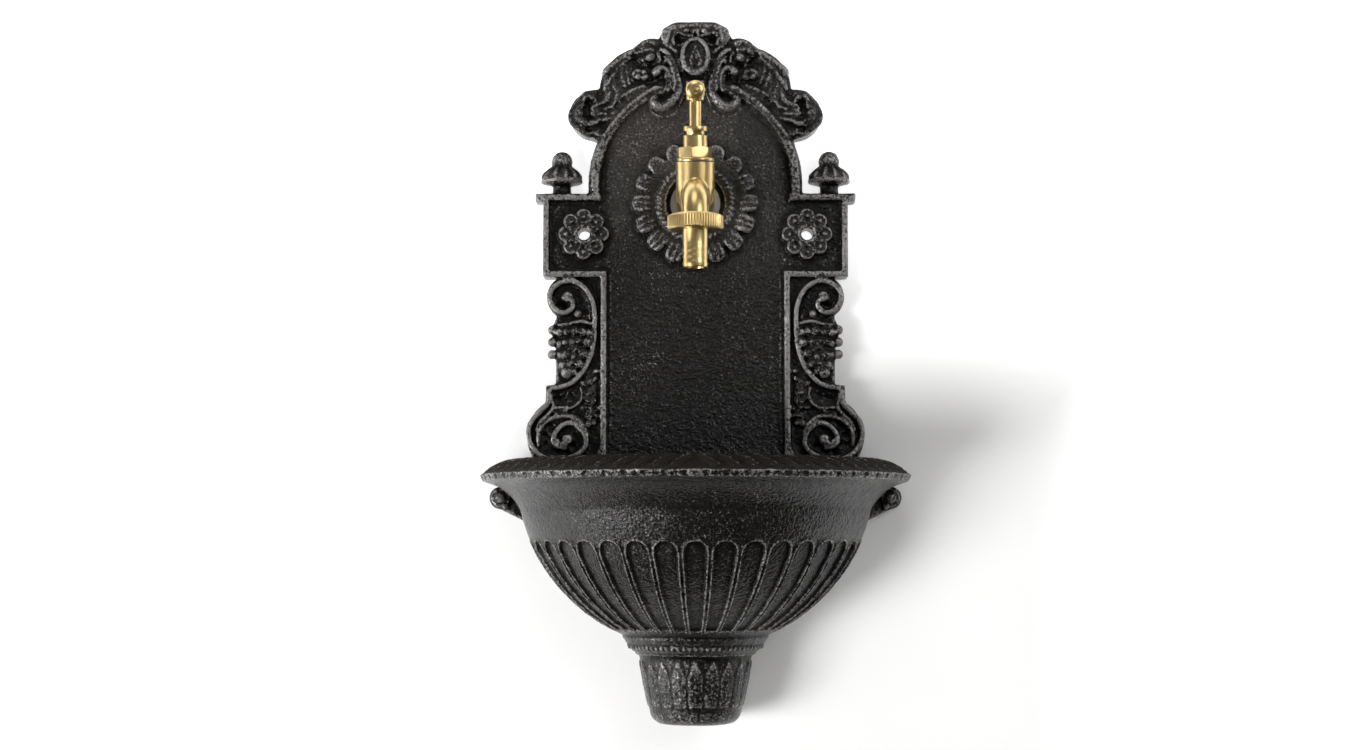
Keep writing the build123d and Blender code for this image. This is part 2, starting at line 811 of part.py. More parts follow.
# Tap body: inlet with thread, valve chamber, spout elbow and its threaded end
boss_start = field_depth
with BuildPart() as tap_body:
    with BuildSketch(on_face(-inlet_reach)):
        with Locations((0, inlet_level)):
            Circle(inlet_thread / 2)
    extrude(amount=inlet_reach + boss_start)
    with BuildSketch(on_face(-inlet_relief)):
        with Locations((0, inlet_level)):
            Circle(inlet_boss / 2)
            Circle(inlet_relief_size / 2, mode=Mode.SUBTRACT)
    extrude(amount=inlet_relief, mode=Mode.SUBTRACT)
    with BuildSketch(on_face(boss_start)):
        with Locations((0, inlet_level)):
            Circle(inlet_boss / 2)
    extrude(amount=valve_depth - boss_start)
    revolve(
        turned(
            valve_section,
            (0, chamber_bottom),
            (chamber_foot - chamber_edge, chamber_bottom),
            (chamber_foot, chamber_bottom + chamber_edge),
            (chamber_radius, chamber_taper),
            (chamber_radius, chamber_top),
            (0, chamber_top),
        ),
        axis=valve_axis,
    )
    with BuildLine(Plane.YZ) as spout_path:
        Line((-valve_depth, inlet_level), (spout_bend - spout_depth, inlet_level))
        CenterArc((spout_bend - spout_depth, inlet_level - spout_bend), spout_bend, 90, 90)
        Line((-spout_depth, inlet_level - spout_bend), (-spout_depth, spout_end))
    with BuildSketch(Plane((0, -valve_depth, inlet_level), (1, 0, 0), (0, -1, 0))):
        Circle(spout_outside / 2)
    sweep(path=spout_path.line)
    with BuildSketch(Plane.XY.offset(spout_end)):
        with Locations((0, -spout_depth)):
            Circle(spout_thread / 2)
    extrude(amount=spout_disc)

    # Waterways: bonnet thread, valve room, seat, slanting inlet and the bore of the spout
    revolve(
        turned(
            valve_section,
            (0, waterway_level - waterway_radius),
            (seat_radius, waterway_level - waterway_radius),
            (seat_radius, seat_height),
            (valve_room, seat_height),
            (valve_room, bonnet_reach),
            (bonnet_thread / 2 + running_fit, bonnet_reach),
            (bonnet_thread / 2 + running_fit, chamber_top),
            (0, chamber_top),
        ),
        axis=valve_axis,
        mode=Mode.SUBTRACT,
    )
    with BuildSketch(on_face(-inlet_reach)):
        with Locations((0, inlet_level)):
            Circle(inlet_bore)
    extrude(amount=inlet_reach + waterway_start, mode=Mode.SUBTRACT)
    waterway_end = valve_origin + valve_up * waterway_level
    waterway_run = waterway_end - Vector(0, -waterway_start, inlet_level)
    with BuildSketch(Plane((0, -waterway_start, inlet_level), (1, 0, 0), waterway_run)):
        Circle(waterway_radius)
    extrude(amount=waterway_run.length, mode=Mode.SUBTRACT)
    with BuildLine(Plane.YZ) as bore_path:
        Line((-valve_depth - valve_room, inlet_level), (spout_bend - spout_depth, inlet_level))
        CenterArc((spout_bend - spout_depth, inlet_level - spout_bend), spout_bend, 90, 90)
        Line((-spout_depth, inlet_level - spout_bend), (-spout_depth, spout_end))
    with BuildSketch(Plane((0, -valve_depth - valve_room, inlet_level), (1, 0, 0), (0, -1, 0))):
        Circle(spout_bore / 2)
    sweep(path=bore_path.line, mode=Mode.SUBTRACT)

# Washers and nut that clamp the tap in the rosette
with BuildPart() as tap_face_washer:
    with BuildSketch(on_face(washer_seat)):
        with Locations((0, inlet_level)):
            Circle(face_washer / 2)
            Circle(inlet_thread / 2 + washer_clearance, mode=Mode.SUBTRACT)
    extrude(amount=washer_thickness)

back_seat = field_depth - casting_wall
with BuildPart() as tap_back_washer:
    with BuildSketch(on_face(back_seat - washer_thickness)):
        with Locations((0, inlet_level)):
            Circle(back_washer / 2)
            Circle(inlet_thread / 2 + washer_clearance, mode=Mode.SUBTRACT)
    extrude(amount=washer_thickness)

with BuildPart() as tap_backnut:
    with BuildSketch(on_face(back_seat - washer_thickness - backnut_height)):
        with Locations((0, inlet_level)):
            RegularPolygon(backnut_size / 2, 6, major_radius=False)
            Circle(inlet_thread / 2 + running_fit, mode=Mode.SUBTRACT)
    extrude(amount=backnut_height)

# Bonnet: thread in the body, flange on a gasket, hexagon, and a neck with the stuffing box
flange_level = chamber_top + gasket_thickness
hex_level = flange_level + bonnet_flange_height
neck_base = hex_level + bonnet_hex_height
neck_top = neck_base + bonnet_neck_height
box_floor = neck_top - stuffing_depth
with BuildPart() as bonnet:
    revolve(
        turned(
            valve_section,
            (0, bonnet_reach),
            (bonnet_thread / 2, bonnet_reach),
            (bonnet_thread / 2, flange_level),
            (bonnet_flange / 2, flange_level),
            (bonnet_flange / 2, hex_level),
            (bonnet_neck / 2, hex_level),
            (bonnet_neck / 2, neck_top),
            (0, neck_top),
        ),
        axis=valve_axis,
    )
    with BuildSketch(valve_plane.offset(hex_level)):
        RegularPolygon(bonnet_hex / 2, 6, major_radius=False, rotation=bonnet_hex_turn)
    extrude(amount=bonnet_hex_height)
    revolve(
        turned(
            valve_section,
            (0, bonnet_reach),
            (screw_size / 2 + running_fit, bonnet_reach),
            (screw_size / 2 + running_fit, box_floor),
            (stuffing_bore / 2, box_floor),
            (stuffing_bore / 2, neck_top),
            (0, neck_top),
        ),
        axis=valve_axis,
        mode=Mode.SUBTRACT,
    )

with BuildPart() as bonnet_gasket:
    with BuildSketch(valve_plane.offset(chamber_top)):
        Circle(bonnet_flange / 2)
        Circle(bonnet_thread / 2 + running_fit, mode=Mode.SUBTRACT)
    extrude(amount=gasket_thickness)

# Gland: packing in the stuffing box, pressed down by a collared nut
packing_top = box_floor + packing_height
collar_base = neck_top + gland_gap
with BuildPart() as gland_packing:
    with BuildSketch(valve_plane.offset(box_floor)):
        Circle(stuffing_bore / 2 - running_fit)
        Circle(stem_size / 2 + running_fit, mode=Mode.SUBTRACT)
    extrude(amount=packing_height)

with BuildPart() as gland_nut:
    with BuildSketch(valve_plane.offset(packing_top)):
        Circle(stuffing_bore / 2 - running_fit)
        Circle(stem_size / 2 + running_fit, mode=Mode.SUBTRACT)
    extrude(amount=collar_base - packing_top)
    with BuildSketch(valve_plane.offset(collar_base)):
        Circle(gland_collar / 2)
        Circle(stem_size / 2 + running_fit, mode=Mode.SUBTRACT)
    extrude(amount=gland_collar_height)

# Valve plate: washer on the seat, held under the plate by a nut, its stem free in the spindle
plate_level = seat_height + valve_washer_thickness
plate_top = plate_level + jumper_plate
stud_end = seat_height - jumper_nut_height
with BuildPart() as valve_washer:
    with BuildSketch(valve_plane.offset(seat_height)):
        Circle(valve_washer_size / 2)
        Circle(jumper_stud / 2 + running_fit, mode=Mode.SUBTRACT)
    extrude(amount=valve_washer_thickness)

with BuildPart() as jumper_nut:
    with BuildSketch(valve_plane.offset(stud_end)):
        RegularPolygon(jumper_nut_size / 2, 6, major_radius=False)
        Circle(jumper_stud / 2 + running_fit, mode=Mode.SUBTRACT)
    extrude(amount=jumper_nut_height)

with BuildPart() as valve_jumper:
    revolve(
        turned(
            valve_section,
            (0, stud_end),
            (jumper_stud / 2, stud_end),
            (jumper_stud / 2, plate_level),
            (jumper_size / 2, plate_level),
            (jumper_size / 2, plate_top),
            (jumper_stem / 2, plate_top),
            (jumper_stem / 2, plate_top + jumper_stem_length),
            (0, plate_top + jumper_stem_length),
        ),
        axis=valve_axis,
    )

# Spindle: screw in the bonnet, stem through the gland, socket for the stem of the valve plate
shoulder = box_floor - valve_lift - end_play
spindle_base = plate_top + end_play
socket_top = plate_top + jumper_stem_length + end_play
spindle_top = bar_height + bar_hub / 2
with BuildPart() as spindle:
    revolve(
        turned(
            valve_section,
            (0, socket_top),
            (jumper_stem / 2 + running_fit, socket_top),
            (jumper_stem / 2 + running_fit, spindle_base),
            (screw_size / 2, spindle_base),
            (screw_size / 2, shoulder),
            (stem_size / 2, shoulder),
            (stem_size / 2, spindle_top),
            (0, spindle_top),
        ),
        axis=valve_axis,
    )

# Tee bar: a rod with a turned knob at each end and a hub on the stem, pointing at the viewer
bar_center = valve_origin + valve_up * bar_height
bar_out = Vector(0, -cos(radians(valve_lean)), -sin(radians(valve_lean)))
bar_plane = Plane(bar_center, (1, 0, 0), bar_out)
with BuildPart() as t_bar:
    with BuildSketch(bar_plane):
        Circle(bar_size / 2)
    extrude(amount=bar_length / 2 - bar_knob_length / 2, both=True)
    with BuildSketch(valve_plane.offset(bar_height - bar_hub / 2)):
        Circle(bar_hub / 2)
    extrude(amount=bar_hub)
    for end in (-1, 1):
        with BuildSketch(bar_plane.offset(end * bar_length / 2)):
            Circle(bar_knob / 2)
        extrude(amount=-end * bar_knob_length)
    circles = t_bar.edges().filter_by(GeomType.CIRCLE)
    chamfer(circles.filter_by(lambda edge: abs(edge.radius - bar_knob / 2) < running_fit), bar_chamfer)
    with BuildSketch(valve_plane.offset(bar_height - bar_hub)):
        Circle(stem_size / 2)
    extrude(amount=2 * bar_hub, mode=Mode.SUBTRACT)

# Hose union: seal, barbed tail with its collar, and the knurled nut that holds the collar up
seal_level = spout_end - seal_thickness
tail_shoulder = seal_level - tail_collar_thickness
union_bottom = tail_shoulder - union_flange
with BuildPart() as hose_seal:
    with BuildSketch(Plane.XY.offset(seal_level)):
        with Locations((0, -spout_depth)):
            Circle(tail_collar / 2)
            Circle(spout_bore / 2, mode=Mode.SUBTRACT)
    extrude(amount=seal_thickness)

barb_profile = [(spout_bore / 2, seal_level), (tail_collar / 2, seal_level)]
barb_profile += [(tail_collar / 2, tail_shoulder), (tail_outside / 2, tail_shoulder)]
for index in range(barbs, 0, -1):
    crest = tail_bottom + index * barb_pitch
    barb_foot = crest - barb_step * barb_pitch
    barb_profile += [(tail_outside / 2, crest), (tail_outside / 2 - barb_depth, barb_foot)]
barb_profile += [(tail_outside / 2 - barb_depth, tail_bottom), (spout_bore / 2, tail_bottom)]
with BuildPart() as hose_tail:
    revolve(turned(spout_section, *barb_profile), axis=spout_axis)

with BuildPart() as union_nut:
    with BuildSketch(Plane.XY.offset(union_bottom)):
        with BuildLine():
            teeth = []
            for step in range(2 * union_teeth):
                reach = union_outside / 2 - union_tooth * (step % 2)
                angle = pi * step / union_teeth
                teeth.append((reach * cos(angle), reach * sin(angle) - spout_depth))
            Polyline(*teeth, close=True)
        make_face()
    extrude(amount=union_top - union_bottom)
    revolve(
        turned(
            spout_section,
            (0, union_bottom),
            (tail_outside / 2 + union_clearance, union_bottom),
            (tail_outside / 2 + union_clearance, tail_shoulder),
            (spout_thread / 2 + union_clearance, tail_shoulder),
            (spout_thread / 2 + union_clearance, union_top),
            (0, union_top),
        ),
        axis=spout_axis,
        mode=Mode.SUBTRACT,
    )

os.makedirs("parts", exist_ok=True)
pieces = {
    "back_panel": back_panel,
    "basin": basin,
    "basin_bolts": basin_bolts,
    "basin_bolt_washers": basin_bolt_washers,
    "basin_nuts": basin_nuts,
    "tap_body": tap_body,
    "tap_face_washer": tap_face_washer,
    "tap_back_washer": tap_back_washer,
    "tap_backnut": tap_backnut,
    "bonnet": bonnet,
    "bonnet_gasket": bonnet_gasket,
    "gland_packing": gland_packing,
    "gland_nut": gland_nut,
    "valve_washer": valve_washer,
    "jumper_nut": jumper_nut,
    "valve_jumper": valve_jumper,
    "spindle": spindle,
    "t_bar": t_bar,
    "hose_seal": hose_seal,
    "hose_tail": hose_tail,
    "union_nut": union_nut,
}
for name, piece in pieces.items():
    piece.part.label = name
    export_step(piece.part, f"parts/{name}.step")
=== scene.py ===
# %% [markdown]
# # A cast iron wall fountain with a brass tap
# The object is a small fountain for a garden wall: an ornamental back plate, a half-round bowl on a hollow
# neck, and a brass bib tap. Its solids are already measured and come in model.glb, so nothing has to be
# fitted here.
# The lesson loads them, sets up the photograph's view, dresses each casting with its carving, its rough skin
# and its rubbed paint, and then turns the brass pieces of the tap.

# %% Load the imported solids
import json
import math

import bpy
import numpy as np
from mathutils import Matrix, Vector


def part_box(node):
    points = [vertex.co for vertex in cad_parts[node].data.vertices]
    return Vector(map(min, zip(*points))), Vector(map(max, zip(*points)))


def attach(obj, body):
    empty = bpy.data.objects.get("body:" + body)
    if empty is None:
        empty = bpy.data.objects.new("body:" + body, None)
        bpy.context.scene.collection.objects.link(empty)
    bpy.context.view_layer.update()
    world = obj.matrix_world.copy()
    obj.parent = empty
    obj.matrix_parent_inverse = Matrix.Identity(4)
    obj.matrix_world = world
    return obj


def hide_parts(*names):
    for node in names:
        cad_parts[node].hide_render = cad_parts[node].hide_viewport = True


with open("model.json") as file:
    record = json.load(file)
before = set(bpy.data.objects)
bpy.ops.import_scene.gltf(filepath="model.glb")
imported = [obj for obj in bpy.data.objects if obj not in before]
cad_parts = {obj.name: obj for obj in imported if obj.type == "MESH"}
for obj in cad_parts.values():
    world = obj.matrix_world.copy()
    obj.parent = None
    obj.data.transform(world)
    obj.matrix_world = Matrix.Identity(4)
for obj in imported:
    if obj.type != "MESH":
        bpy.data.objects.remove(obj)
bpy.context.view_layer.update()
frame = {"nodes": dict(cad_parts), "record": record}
nodes = frame["nodes"]
mm = 0.001

# %% [markdown]
# ## The camera
# The photograph was taken from straight in front, a little below the rim of the bowl, with a long lens.
# The lip of the bowl shows where the eye level is, and the known size of the tap gives the distance.
# A camera could be shifted like a view camera, but a slight upward tilt gives the same picture and leaves
# every other view centred.

# %% Camera at the photograph's angle
photo_width = 1367
focal_length_px = 2213
sensor_width = 36
camera_place = (0, -1.294, -0.177)
tilt, swing = math.radians(94.24), math.radians(0.31)
bpy.ops.object.camera_add(location=camera_place)
camera = bpy.context.active_object
camera.rotation_euler = (tilt, 0, swing)
camera.data.sensor_width = sensor_width
camera.data.lens = sensor_width * focal_length_px / photo_width
bpy.context.scene.camera = camera
bpy.context.scene.view_settings.view_transform = "Standard"
print("lens:", round(camera.data.lens, 1), "mm")

# %% [markdown]
# ## The studio
# A wall fountain hangs on a wall, so a white wall stands right behind it and catches its shadow, and a pale
# floor lies far below. A curved paper backdrop would do too, but it would hide the hollow back: this wall is
# clear from behind, and the floor from below. In the photograph the wall burns out to white and only its
# lower middle holds the shadow, so the paint glows more with height and to the sides. Two bits of lit paper
# show white through the screw holes.
#
# The main lamp is a soft box at the left and below, because the shadow in the photograph falls to the right
# and upwards. It lights but is not mirrored, and a smaller box beside it gives the glints alone, so that
# light and shine can be set apart. A weak box at the right gives the brass its second bright stripe, one
# above greys the upward faces of the iron, and a wide card in front softens the darkest places.

# %% Node helpers
def add_node(tree, kind, sockets=None, **settings):
    """Adds a shader node with its settings; each socket gets a value, or a link from another socket."""
    node = tree.nodes.new(kind)
    for key, value in settings.items():
        setattr(node, key, value)
    for key, value in (sockets or {}).items():
        if isinstance(value, bpy.types.NodeSocket):
            tree.links.new(value, node.inputs[key])
        else:
            node.inputs[key].default_value = value
    return node


def new_material(name):
    """An empty material with an output node."""
    material = bpy.data.materials.new(name)
    material.use_nodes = True
    tree = material.node_tree
    tree.nodes.clear()
    return material, tree, add_node(tree, "ShaderNodeOutputMaterial")


def math_node(tree, operation, one, two, clamp=False):
    """Sum, product and the like of two values."""
    return add_node(tree, "ShaderNodeMath", {0: one, 1: two}, operation=operation, use_clamp=clamp).outputs[0]


def ramp(tree, value, low, high, to_low=0.0, to_high=1.0):
    """Soft step of a value between two limits."""
    sockets = {"Value": value, "From Min": low, "From Max": high, "To Min": to_low, "To Max": to_high}
    return add_node(tree, "ShaderNodeMapRange", sockets, interpolation_type="SMOOTHSTEP").outputs["Result"]


print("node helpers ready")

# %% Paint of wall and floor
def mixed(tree, factor, one, two):
    """Mix of two shaders by a factor."""
    return add_node(tree, "ShaderNodeMixShader", {0: factor, 1: one, 2: two}).outputs[0]


def glowing_paint(tree, colour, strength):
    """Matt paint with a glow of its own."""
    paint = add_node(tree, "ShaderNodeBsdfDiffuse", {"Color": (*colour, 1)})
    shine = add_node(tree, "ShaderNodeEmission", {"Color": (1, 1, 1, 1), "Strength": strength})
    return add_node(tree, "ShaderNodeAddShader", {0: paint.outputs[0], 1: shine.outputs[0]}).outputs[0]


def wall_paint(name, glow):
    """White paint that glows more with height and to the sides, and is clear from behind."""
    material, tree, output = new_material(name)
    place = add_node(tree, "ShaderNodeNewGeometry")
    path = add_node(tree, "ShaderNodeLightPath")
    split = add_node(tree, "ShaderNodeSeparateXYZ", {0: place.outputs["Position"]})
    aside = ramp(tree, math_node(tree, "ABSOLUTE", split.outputs["X"], 0.0), 0.19, 0.32, *glow)
    above = ramp(tree, split.outputs["Z"], -0.12, 0.03, *glow)
    white = glowing_paint(tree, (0.82, 0.82, 0.82), math_node(tree, "MAXIMUM", aside, above))
    seen = math_node(tree, "MAXIMUM", path.outputs["Is Camera Ray"], path.outputs["Is Glossy Ray"])
    seen = math_node(tree, "MAXIMUM", seen, path.outputs["Is Transmission Ray"])
    front = math_node(tree, "SUBTRACT", seen, place.outputs["Backfacing"], clamp=True)
    clear = add_node(tree, "ShaderNodeBsdfTransparent").outputs[0]
    tree.links.new(mixed(tree, front, clear, white), output.inputs["Surface"])
    return material


def floor_paint(name, glow):
    """Pale paint that glows for the eye alone, is dark in reflections and is clear from below."""
    material, tree, output = new_material(name)
    place = add_node(tree, "ShaderNodeNewGeometry")
    path = add_node(tree, "ShaderNodeLightPath")
    pale = glowing_paint(tree, (0.78, 0.77, 0.75),
                         math_node(tree, "MULTIPLY", path.outputs["Is Camera Ray"], glow))
    shade = add_node(tree, "ShaderNodeBsdfDiffuse", {"Color": (0.12, 0.11, 0.1, 1)}).outputs[0]
    mirrored = mixed(tree, path.outputs["Is Glossy Ray"], pale, shade)
    clear = add_node(tree, "ShaderNodeBsdfTransparent").outputs[0]
    tree.links.new(mixed(tree, place.outputs["Backfacing"], mirrored, clear), output.inputs["Surface"])
    return material


stage_paints = {"wall": wall_paint("white_wall", (0.03, 0.8)), "floor": floor_paint("pale_floor", 0.5)}
print("paints of the stage:", list(stage_paints))

# %% Wall, floor and lit paper
floor_level = -0.75
stage_size = 8
screw_x = 65.0
upright = (math.radians(90), 0, 0)


def named(name, material):
    """Gives the object just made its name and its material."""
    made = bpy.context.active_object
    made.name = name
    made.data.materials.append(material)
    return made


bpy.ops.mesh.primitive_plane_add(size=stage_size, location=(0, 0.0006, floor_level + stage_size / 2),
                                 rotation=upright)
wall = named("studio_wall", stage_paints["wall"])
bpy.ops.mesh.primitive_plane_add(size=stage_size, location=(0, 0, floor_level))
floor = named("studio_floor", stage_paints["floor"])
holes = []
for side in (-1, 1):
    bpy.ops.mesh.primitive_circle_add(vertices=32, radius=0.006, fill_type="NGON",
                                      location=(side * screw_x * mm, 0.0004, 0), rotation=upright)
    paper = f"lit_paper_{len(holes) + 1}"
    holes.append(named(paper, wall_paint(paper, (1, 1))))
print("stage:", wall.name, floor.name, [paper.name for paper in holes])

# %% Lamps and world
lamp_aim = Vector((0, -0.05, -0.08))


def soft_box(name, place, size, power):
    """A square lamp that faces the fountain."""
    bpy.ops.object.light_add(type="AREA", location=place)
    lamp = bpy.context.active_object
    lamp.name = name
    lamp.data.size = size
    lamp.data.energy = power
    lamp.rotation_euler = (lamp_aim - Vector(place)).to_track_quat("-Z", "Y").to_euler()
    return lamp


key = soft_box("key_left", (-1.0, -1.1, -0.62), 0.7, 40)
key.visible_glossy = False
glint = soft_box("glint_left", (-1.3, -0.85, -0.6), 0.5, 20)
glint.visible_diffuse = False
soft_box("fill_right", (0.95, -1.1, 0.35), 0.6, 6)
soft_box("top_soft", (-0.2, -0.9, 1.2), 0.8, 5)
soft_box("front_card", (0.0, -2.4, 0.5), 1.8, 1.2)
world = bpy.data.worlds.new("grey_room")
world.use_nodes = True
background = world.node_tree.nodes["Background"].inputs
background["Color"].default_value = (1.0, 0.98, 0.95, 1)
background["Strength"].default_value = 0.13
bpy.context.scene.world = world

# %% [markdown]
# ## Clay tools
# The patterns of such castings are carved by hand: strokes, beads, petals and leaves laid on a flat ground.
# The same is done here. Each kind of mark is a small helper: a stroke is a curve with a round section, and a
# bead or a petal is a primitive that is modelled once and copied. All marks are joined to a copy of the
# solid, and a voxel remesh melts them into one skin, as the pattern maker's plaster would.

# %% Marks in clay
def alone(piece):
    """Selects one piece and makes it active."""
    bpy.ops.object.select_all(action="DESELECT")
    piece.select_set(True)
    bpy.context.view_layer.objects.active = piece
    return piece


def apply(piece, kind, **settings):
    """Adds a modifier with its settings and applies it."""
    alone(piece)
    modifier = piece.modifiers.new(kind.lower(), kind)
    for key, value in settings.items():
        setattr(modifier, key, value)
    bpy.ops.object.modifier_apply(modifier=modifier.name)


def on_panel(x, z, depth):
    """A place in front of the wall, from millimetres."""
    return Vector((x, -depth, z)) * mm


def placed(name, data):
    """A new object in the scene."""
    made = bpy.data.objects.new(name, data)
    bpy.context.scene.collection.objects.link(made)
    return made


def round_curve(name, radius, resolution):
    """An empty curve with a round section and closed ends."""
    curve = bpy.data.curves.new(name, "CURVE")
    curve.dimensions = "3D"
    curve.bevel_depth = radius
    curve.bevel_resolution = resolution
    curve.use_fill_caps = True
    return curve


def stroke(places, sizes):
    """A rounded stroke through the places, with its radius at each place in millimetres."""
    curve = round_curve("stroke", mm, 2)
    curve.resolution_u = 5
    line = curve.splines.new("BEZIER")
    line.bezier_points.add(len(places) - 1)
    for point, place, size in zip(line.bezier_points, places, sizes):
        point.co = place
        point.radius = size
        point.handle_left_type = point.handle_right_type = "AUTO"
    return placed("stroke", curve)


def copies(model, matrices):
    """Copies of a modelled mark, each with its own mesh; the model itself is removed."""
    made = []
    for matrix in matrices:
        mesh = model.data.copy()
        mesh.transform(matrix)
        made.append(placed("mark", mesh))
    bpy.data.objects.remove(model)
    return made


def unit_ball():
    """A small ball of radius one millimetre, to be copied as berries, beads and drops."""
    bpy.ops.mesh.primitive_uv_sphere_add(segments=16, ring_count=10, radius=mm)
    return bpy.context.active_object


def unit_ring(thickness):
    """A ring of radius one millimetre that faces the viewer, to be copied as rims."""
    bpy.ops.mesh.primitive_torus_add(major_segments=28, minor_segments=8, major_radius=mm,
                                     minor_radius=thickness * mm, rotation=(math.radians(90), 0, 0))
    ring = bpy.context.active_object
    bpy.ops.object.transform_apply(location=False, rotation=True, scale=False)
    return ring


def sized(place, width, height, depth, turn=0.0):
    """Matrix that sets a unit mark at a place, sized in millimetres and turned about the viewing line."""
    size = Matrix.Diagonal((width, depth, height, 1))
    return Matrix.Translation(place) @ Matrix.Rotation(turn, 4, "Y") @ size


def edited(piece, operation, **settings):
    """Runs an operation of edit mode on the whole mesh of a piece."""
    alone(piece)
    bpy.ops.object.mode_set(mode="EDIT")
    bpy.ops.mesh.select_all(action="SELECT")
    operation(**settings)
    bpy.ops.object.mode_set(mode="OBJECT")
    return piece


def solid_copy(node, name):
    """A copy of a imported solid's mesh with its loose triangles merged."""
    piece = placed(name, nodes[node].data.copy())
    piece.data.materials.clear()
    return edited(piece, bpy.ops.mesh.remove_doubles, threshold=0.00001)


print("clay tools ready")

# %% [markdown]
# ## Crown of the back plate
# The crown is a rococo cresting: a shell at the top, an oval cartouche, two C-scrolls with curled ends and
# feathery leaves that sweep down to the shoulders. Sculpting it freehand would give a different crown each
# time, so the strokes are written as places on the plate, one side only, and mirrored. A stroke has its own
# radius at each place, so it swells and thins as a modelling tool leaves it. Low oval lumps give the leaves
# their bodies, and narrow ridges on top of them give their folds.

# %% Shell and C-scrolls
marks = []


def pair(path, size, depth, ends=0.6):
    """The same stroke on the right and the left of the plate, thinner at both ends."""
    sizes = [ends * size] + [size] * (len(path) - 2) + [ends * size]
    for side in (1, -1):
        marks.append(stroke([on_panel(side * x, z, depth) for x, z in path], sizes))


def swelling(path, depth):
    """A stroke on the right and the left whose radius is given at each place."""
    sizes = [size for _, _, size in path]
    for side in (1, -1):
        marks.append(stroke([on_panel(side * x, z, depth) for x, z, _ in path], sizes))


def lumps(places, depth, thick):
    """Soft oval lumps on the right and the left, from places with two half widths and a turn."""
    for side in (1, -1):
        ovals = [sized(on_panel(side * x, z, depth), width, height, thick, side * turn)
                 for x, z, width, height, turn in places]
        marks.extend(copies(unit_ball(), ovals))


def bead_pairs(places, depth):
    """Balls on the right and the left, from places out and up with a radius."""
    both = [(side * x, z, size) for x, z, size in places for side in (1, -1)]
    marks.extend(copies(unit_ball(), [sized(on_panel(x, z, depth), r, r, r) for x, z, r in both]))


top_edge = [on_panel(x, 122.6 - abs(x) / 9, 16.6) for x in (-12, -6, 0, 6, 12)]
marks.append(stroke(top_edge, [2.0, 2.4, 2.6, 2.4, 2.0]))
swelling([(11.0, 121.4, 2.2), (15.0, 120.0, 2.8), (17.6, 116.8, 2.6), (17.0, 112.6, 2.0), (14.0, 109.6, 1.4),
          (10.4, 106.8, 0.9)], 17.0)
swelling([(15.0, 118.6, 0.7), (15.8, 116.0, 1.1), (16.2, 112.6, 0.8)], 19.4)
swelling([(5.6, 117.0, 0.8), (9.4, 118.4, 1.1), (12.4, 117.6, 1.2), (13.4, 114.4, 1.2), (12.2, 111.2, 0.9)],
         17.8)
swelling([(4.6, 113.6, 0.7), (7.4, 112.0, 1.0), (10.4, 111.4, 0.7)], 17.6)
swelling([(21.0, 108.6, 1.2), (17.4, 107.0, 1.8), (14.6, 103.6, 1.9), (12.4, 99.4, 1.8), (10.8, 94.6, 1.7),
          (9.4, 89.4, 1.7), (9.4, 84.6, 2.1), (11.6, 80.0, 2.6), (15.0, 76.6, 2.9), (19.0, 74.8, 3.1),
          (22.8, 76.0, 3.1), (24.2, 79.2, 2.6), (22.4, 81.2, 1.5)], 17.6)
swelling([(18.6, 104.4, 0.8), (15.6, 101.4, 1.0), (13.8, 97.6, 1.0), (12.6, 93.0, 1.0), (12.0, 88.4, 0.9),
          (12.8, 84.0, 0.8)], 19.0)
swelling([(24.4, 94.0, 1.6), (22.6, 96.0, 2.5), (19.4, 97.6, 2.0), (16.8, 96.6, 1.7), (15.0, 93.8, 1.5),
          (14.4, 90.2, 1.3), (14.8, 86.8, 1.1), (16.2, 83.6, 0.8)], 17.8)
swelling([(17.6, 94.2, 0.7), (16.8, 91.0, 0.9), (17.0, 87.4, 0.9), (18.0, 83.8, 0.6)], 17.4)
swelling([(22.6, 107.0, 0.6), (21.2, 105.0, 1.0), (20.4, 102.8, 1.1), (21.0, 100.8, 0.7)], 17.4)
lumps([(0.9, 119.4, 1.7, 1.5, 0.0), (5.2, 119.6, 1.9, 1.4, 0.3), (1.7, 116.7, 0.8, 1.2, 0.0),
       (4.0, 116.6, 0.8, 1.1, 0.0)], 17.8, 1.7)
lumps([(22.6, 95.2, 2.9, 2.6, 0.0), (17.4, 101.4, 1.3, 1.0, 0.4), (26.4, 103.8, 3.0, 2.5, 0.5),
       (30.2, 94.9, 2.1, 1.6, -0.5), (33.6, 95.5, 2.3, 1.6, 0.2), (29.4, 91.9, 2.5, 1.6, 0.4),
       (33.6, 92.3, 2.5, 1.8, -0.2), (35.8, 94.0, 1.5, 1.9, 0.0)], 17.8, 3.0)
print("marks of shell and scrolls:", len(marks))

# %% Cartouche
cartouche_level = 103.8
marks += copies(unit_ring(0.11), [sized(on_panel(0, cartouche_level, 20.8), 8.0, 10.4, 8.0)])
marks += copies(unit_ring(0.1), [sized(on_panel(0, cartouche_level, 20.6), 4.6, 7.4, 6.0)])
marks += copies(unit_ball(), [sized(on_panel(0, cartouche_level - 0.8, 19.8), 2.8, 5.6, 2.2)])
swelling([(0.4, 109.6, 0.5), (1.6, 105.0, 0.9), (2.9, 100.6, 0.9), (1.6, 97.8, 0.6)], 21.4)
print("marks with the cartouche:", len(marks))

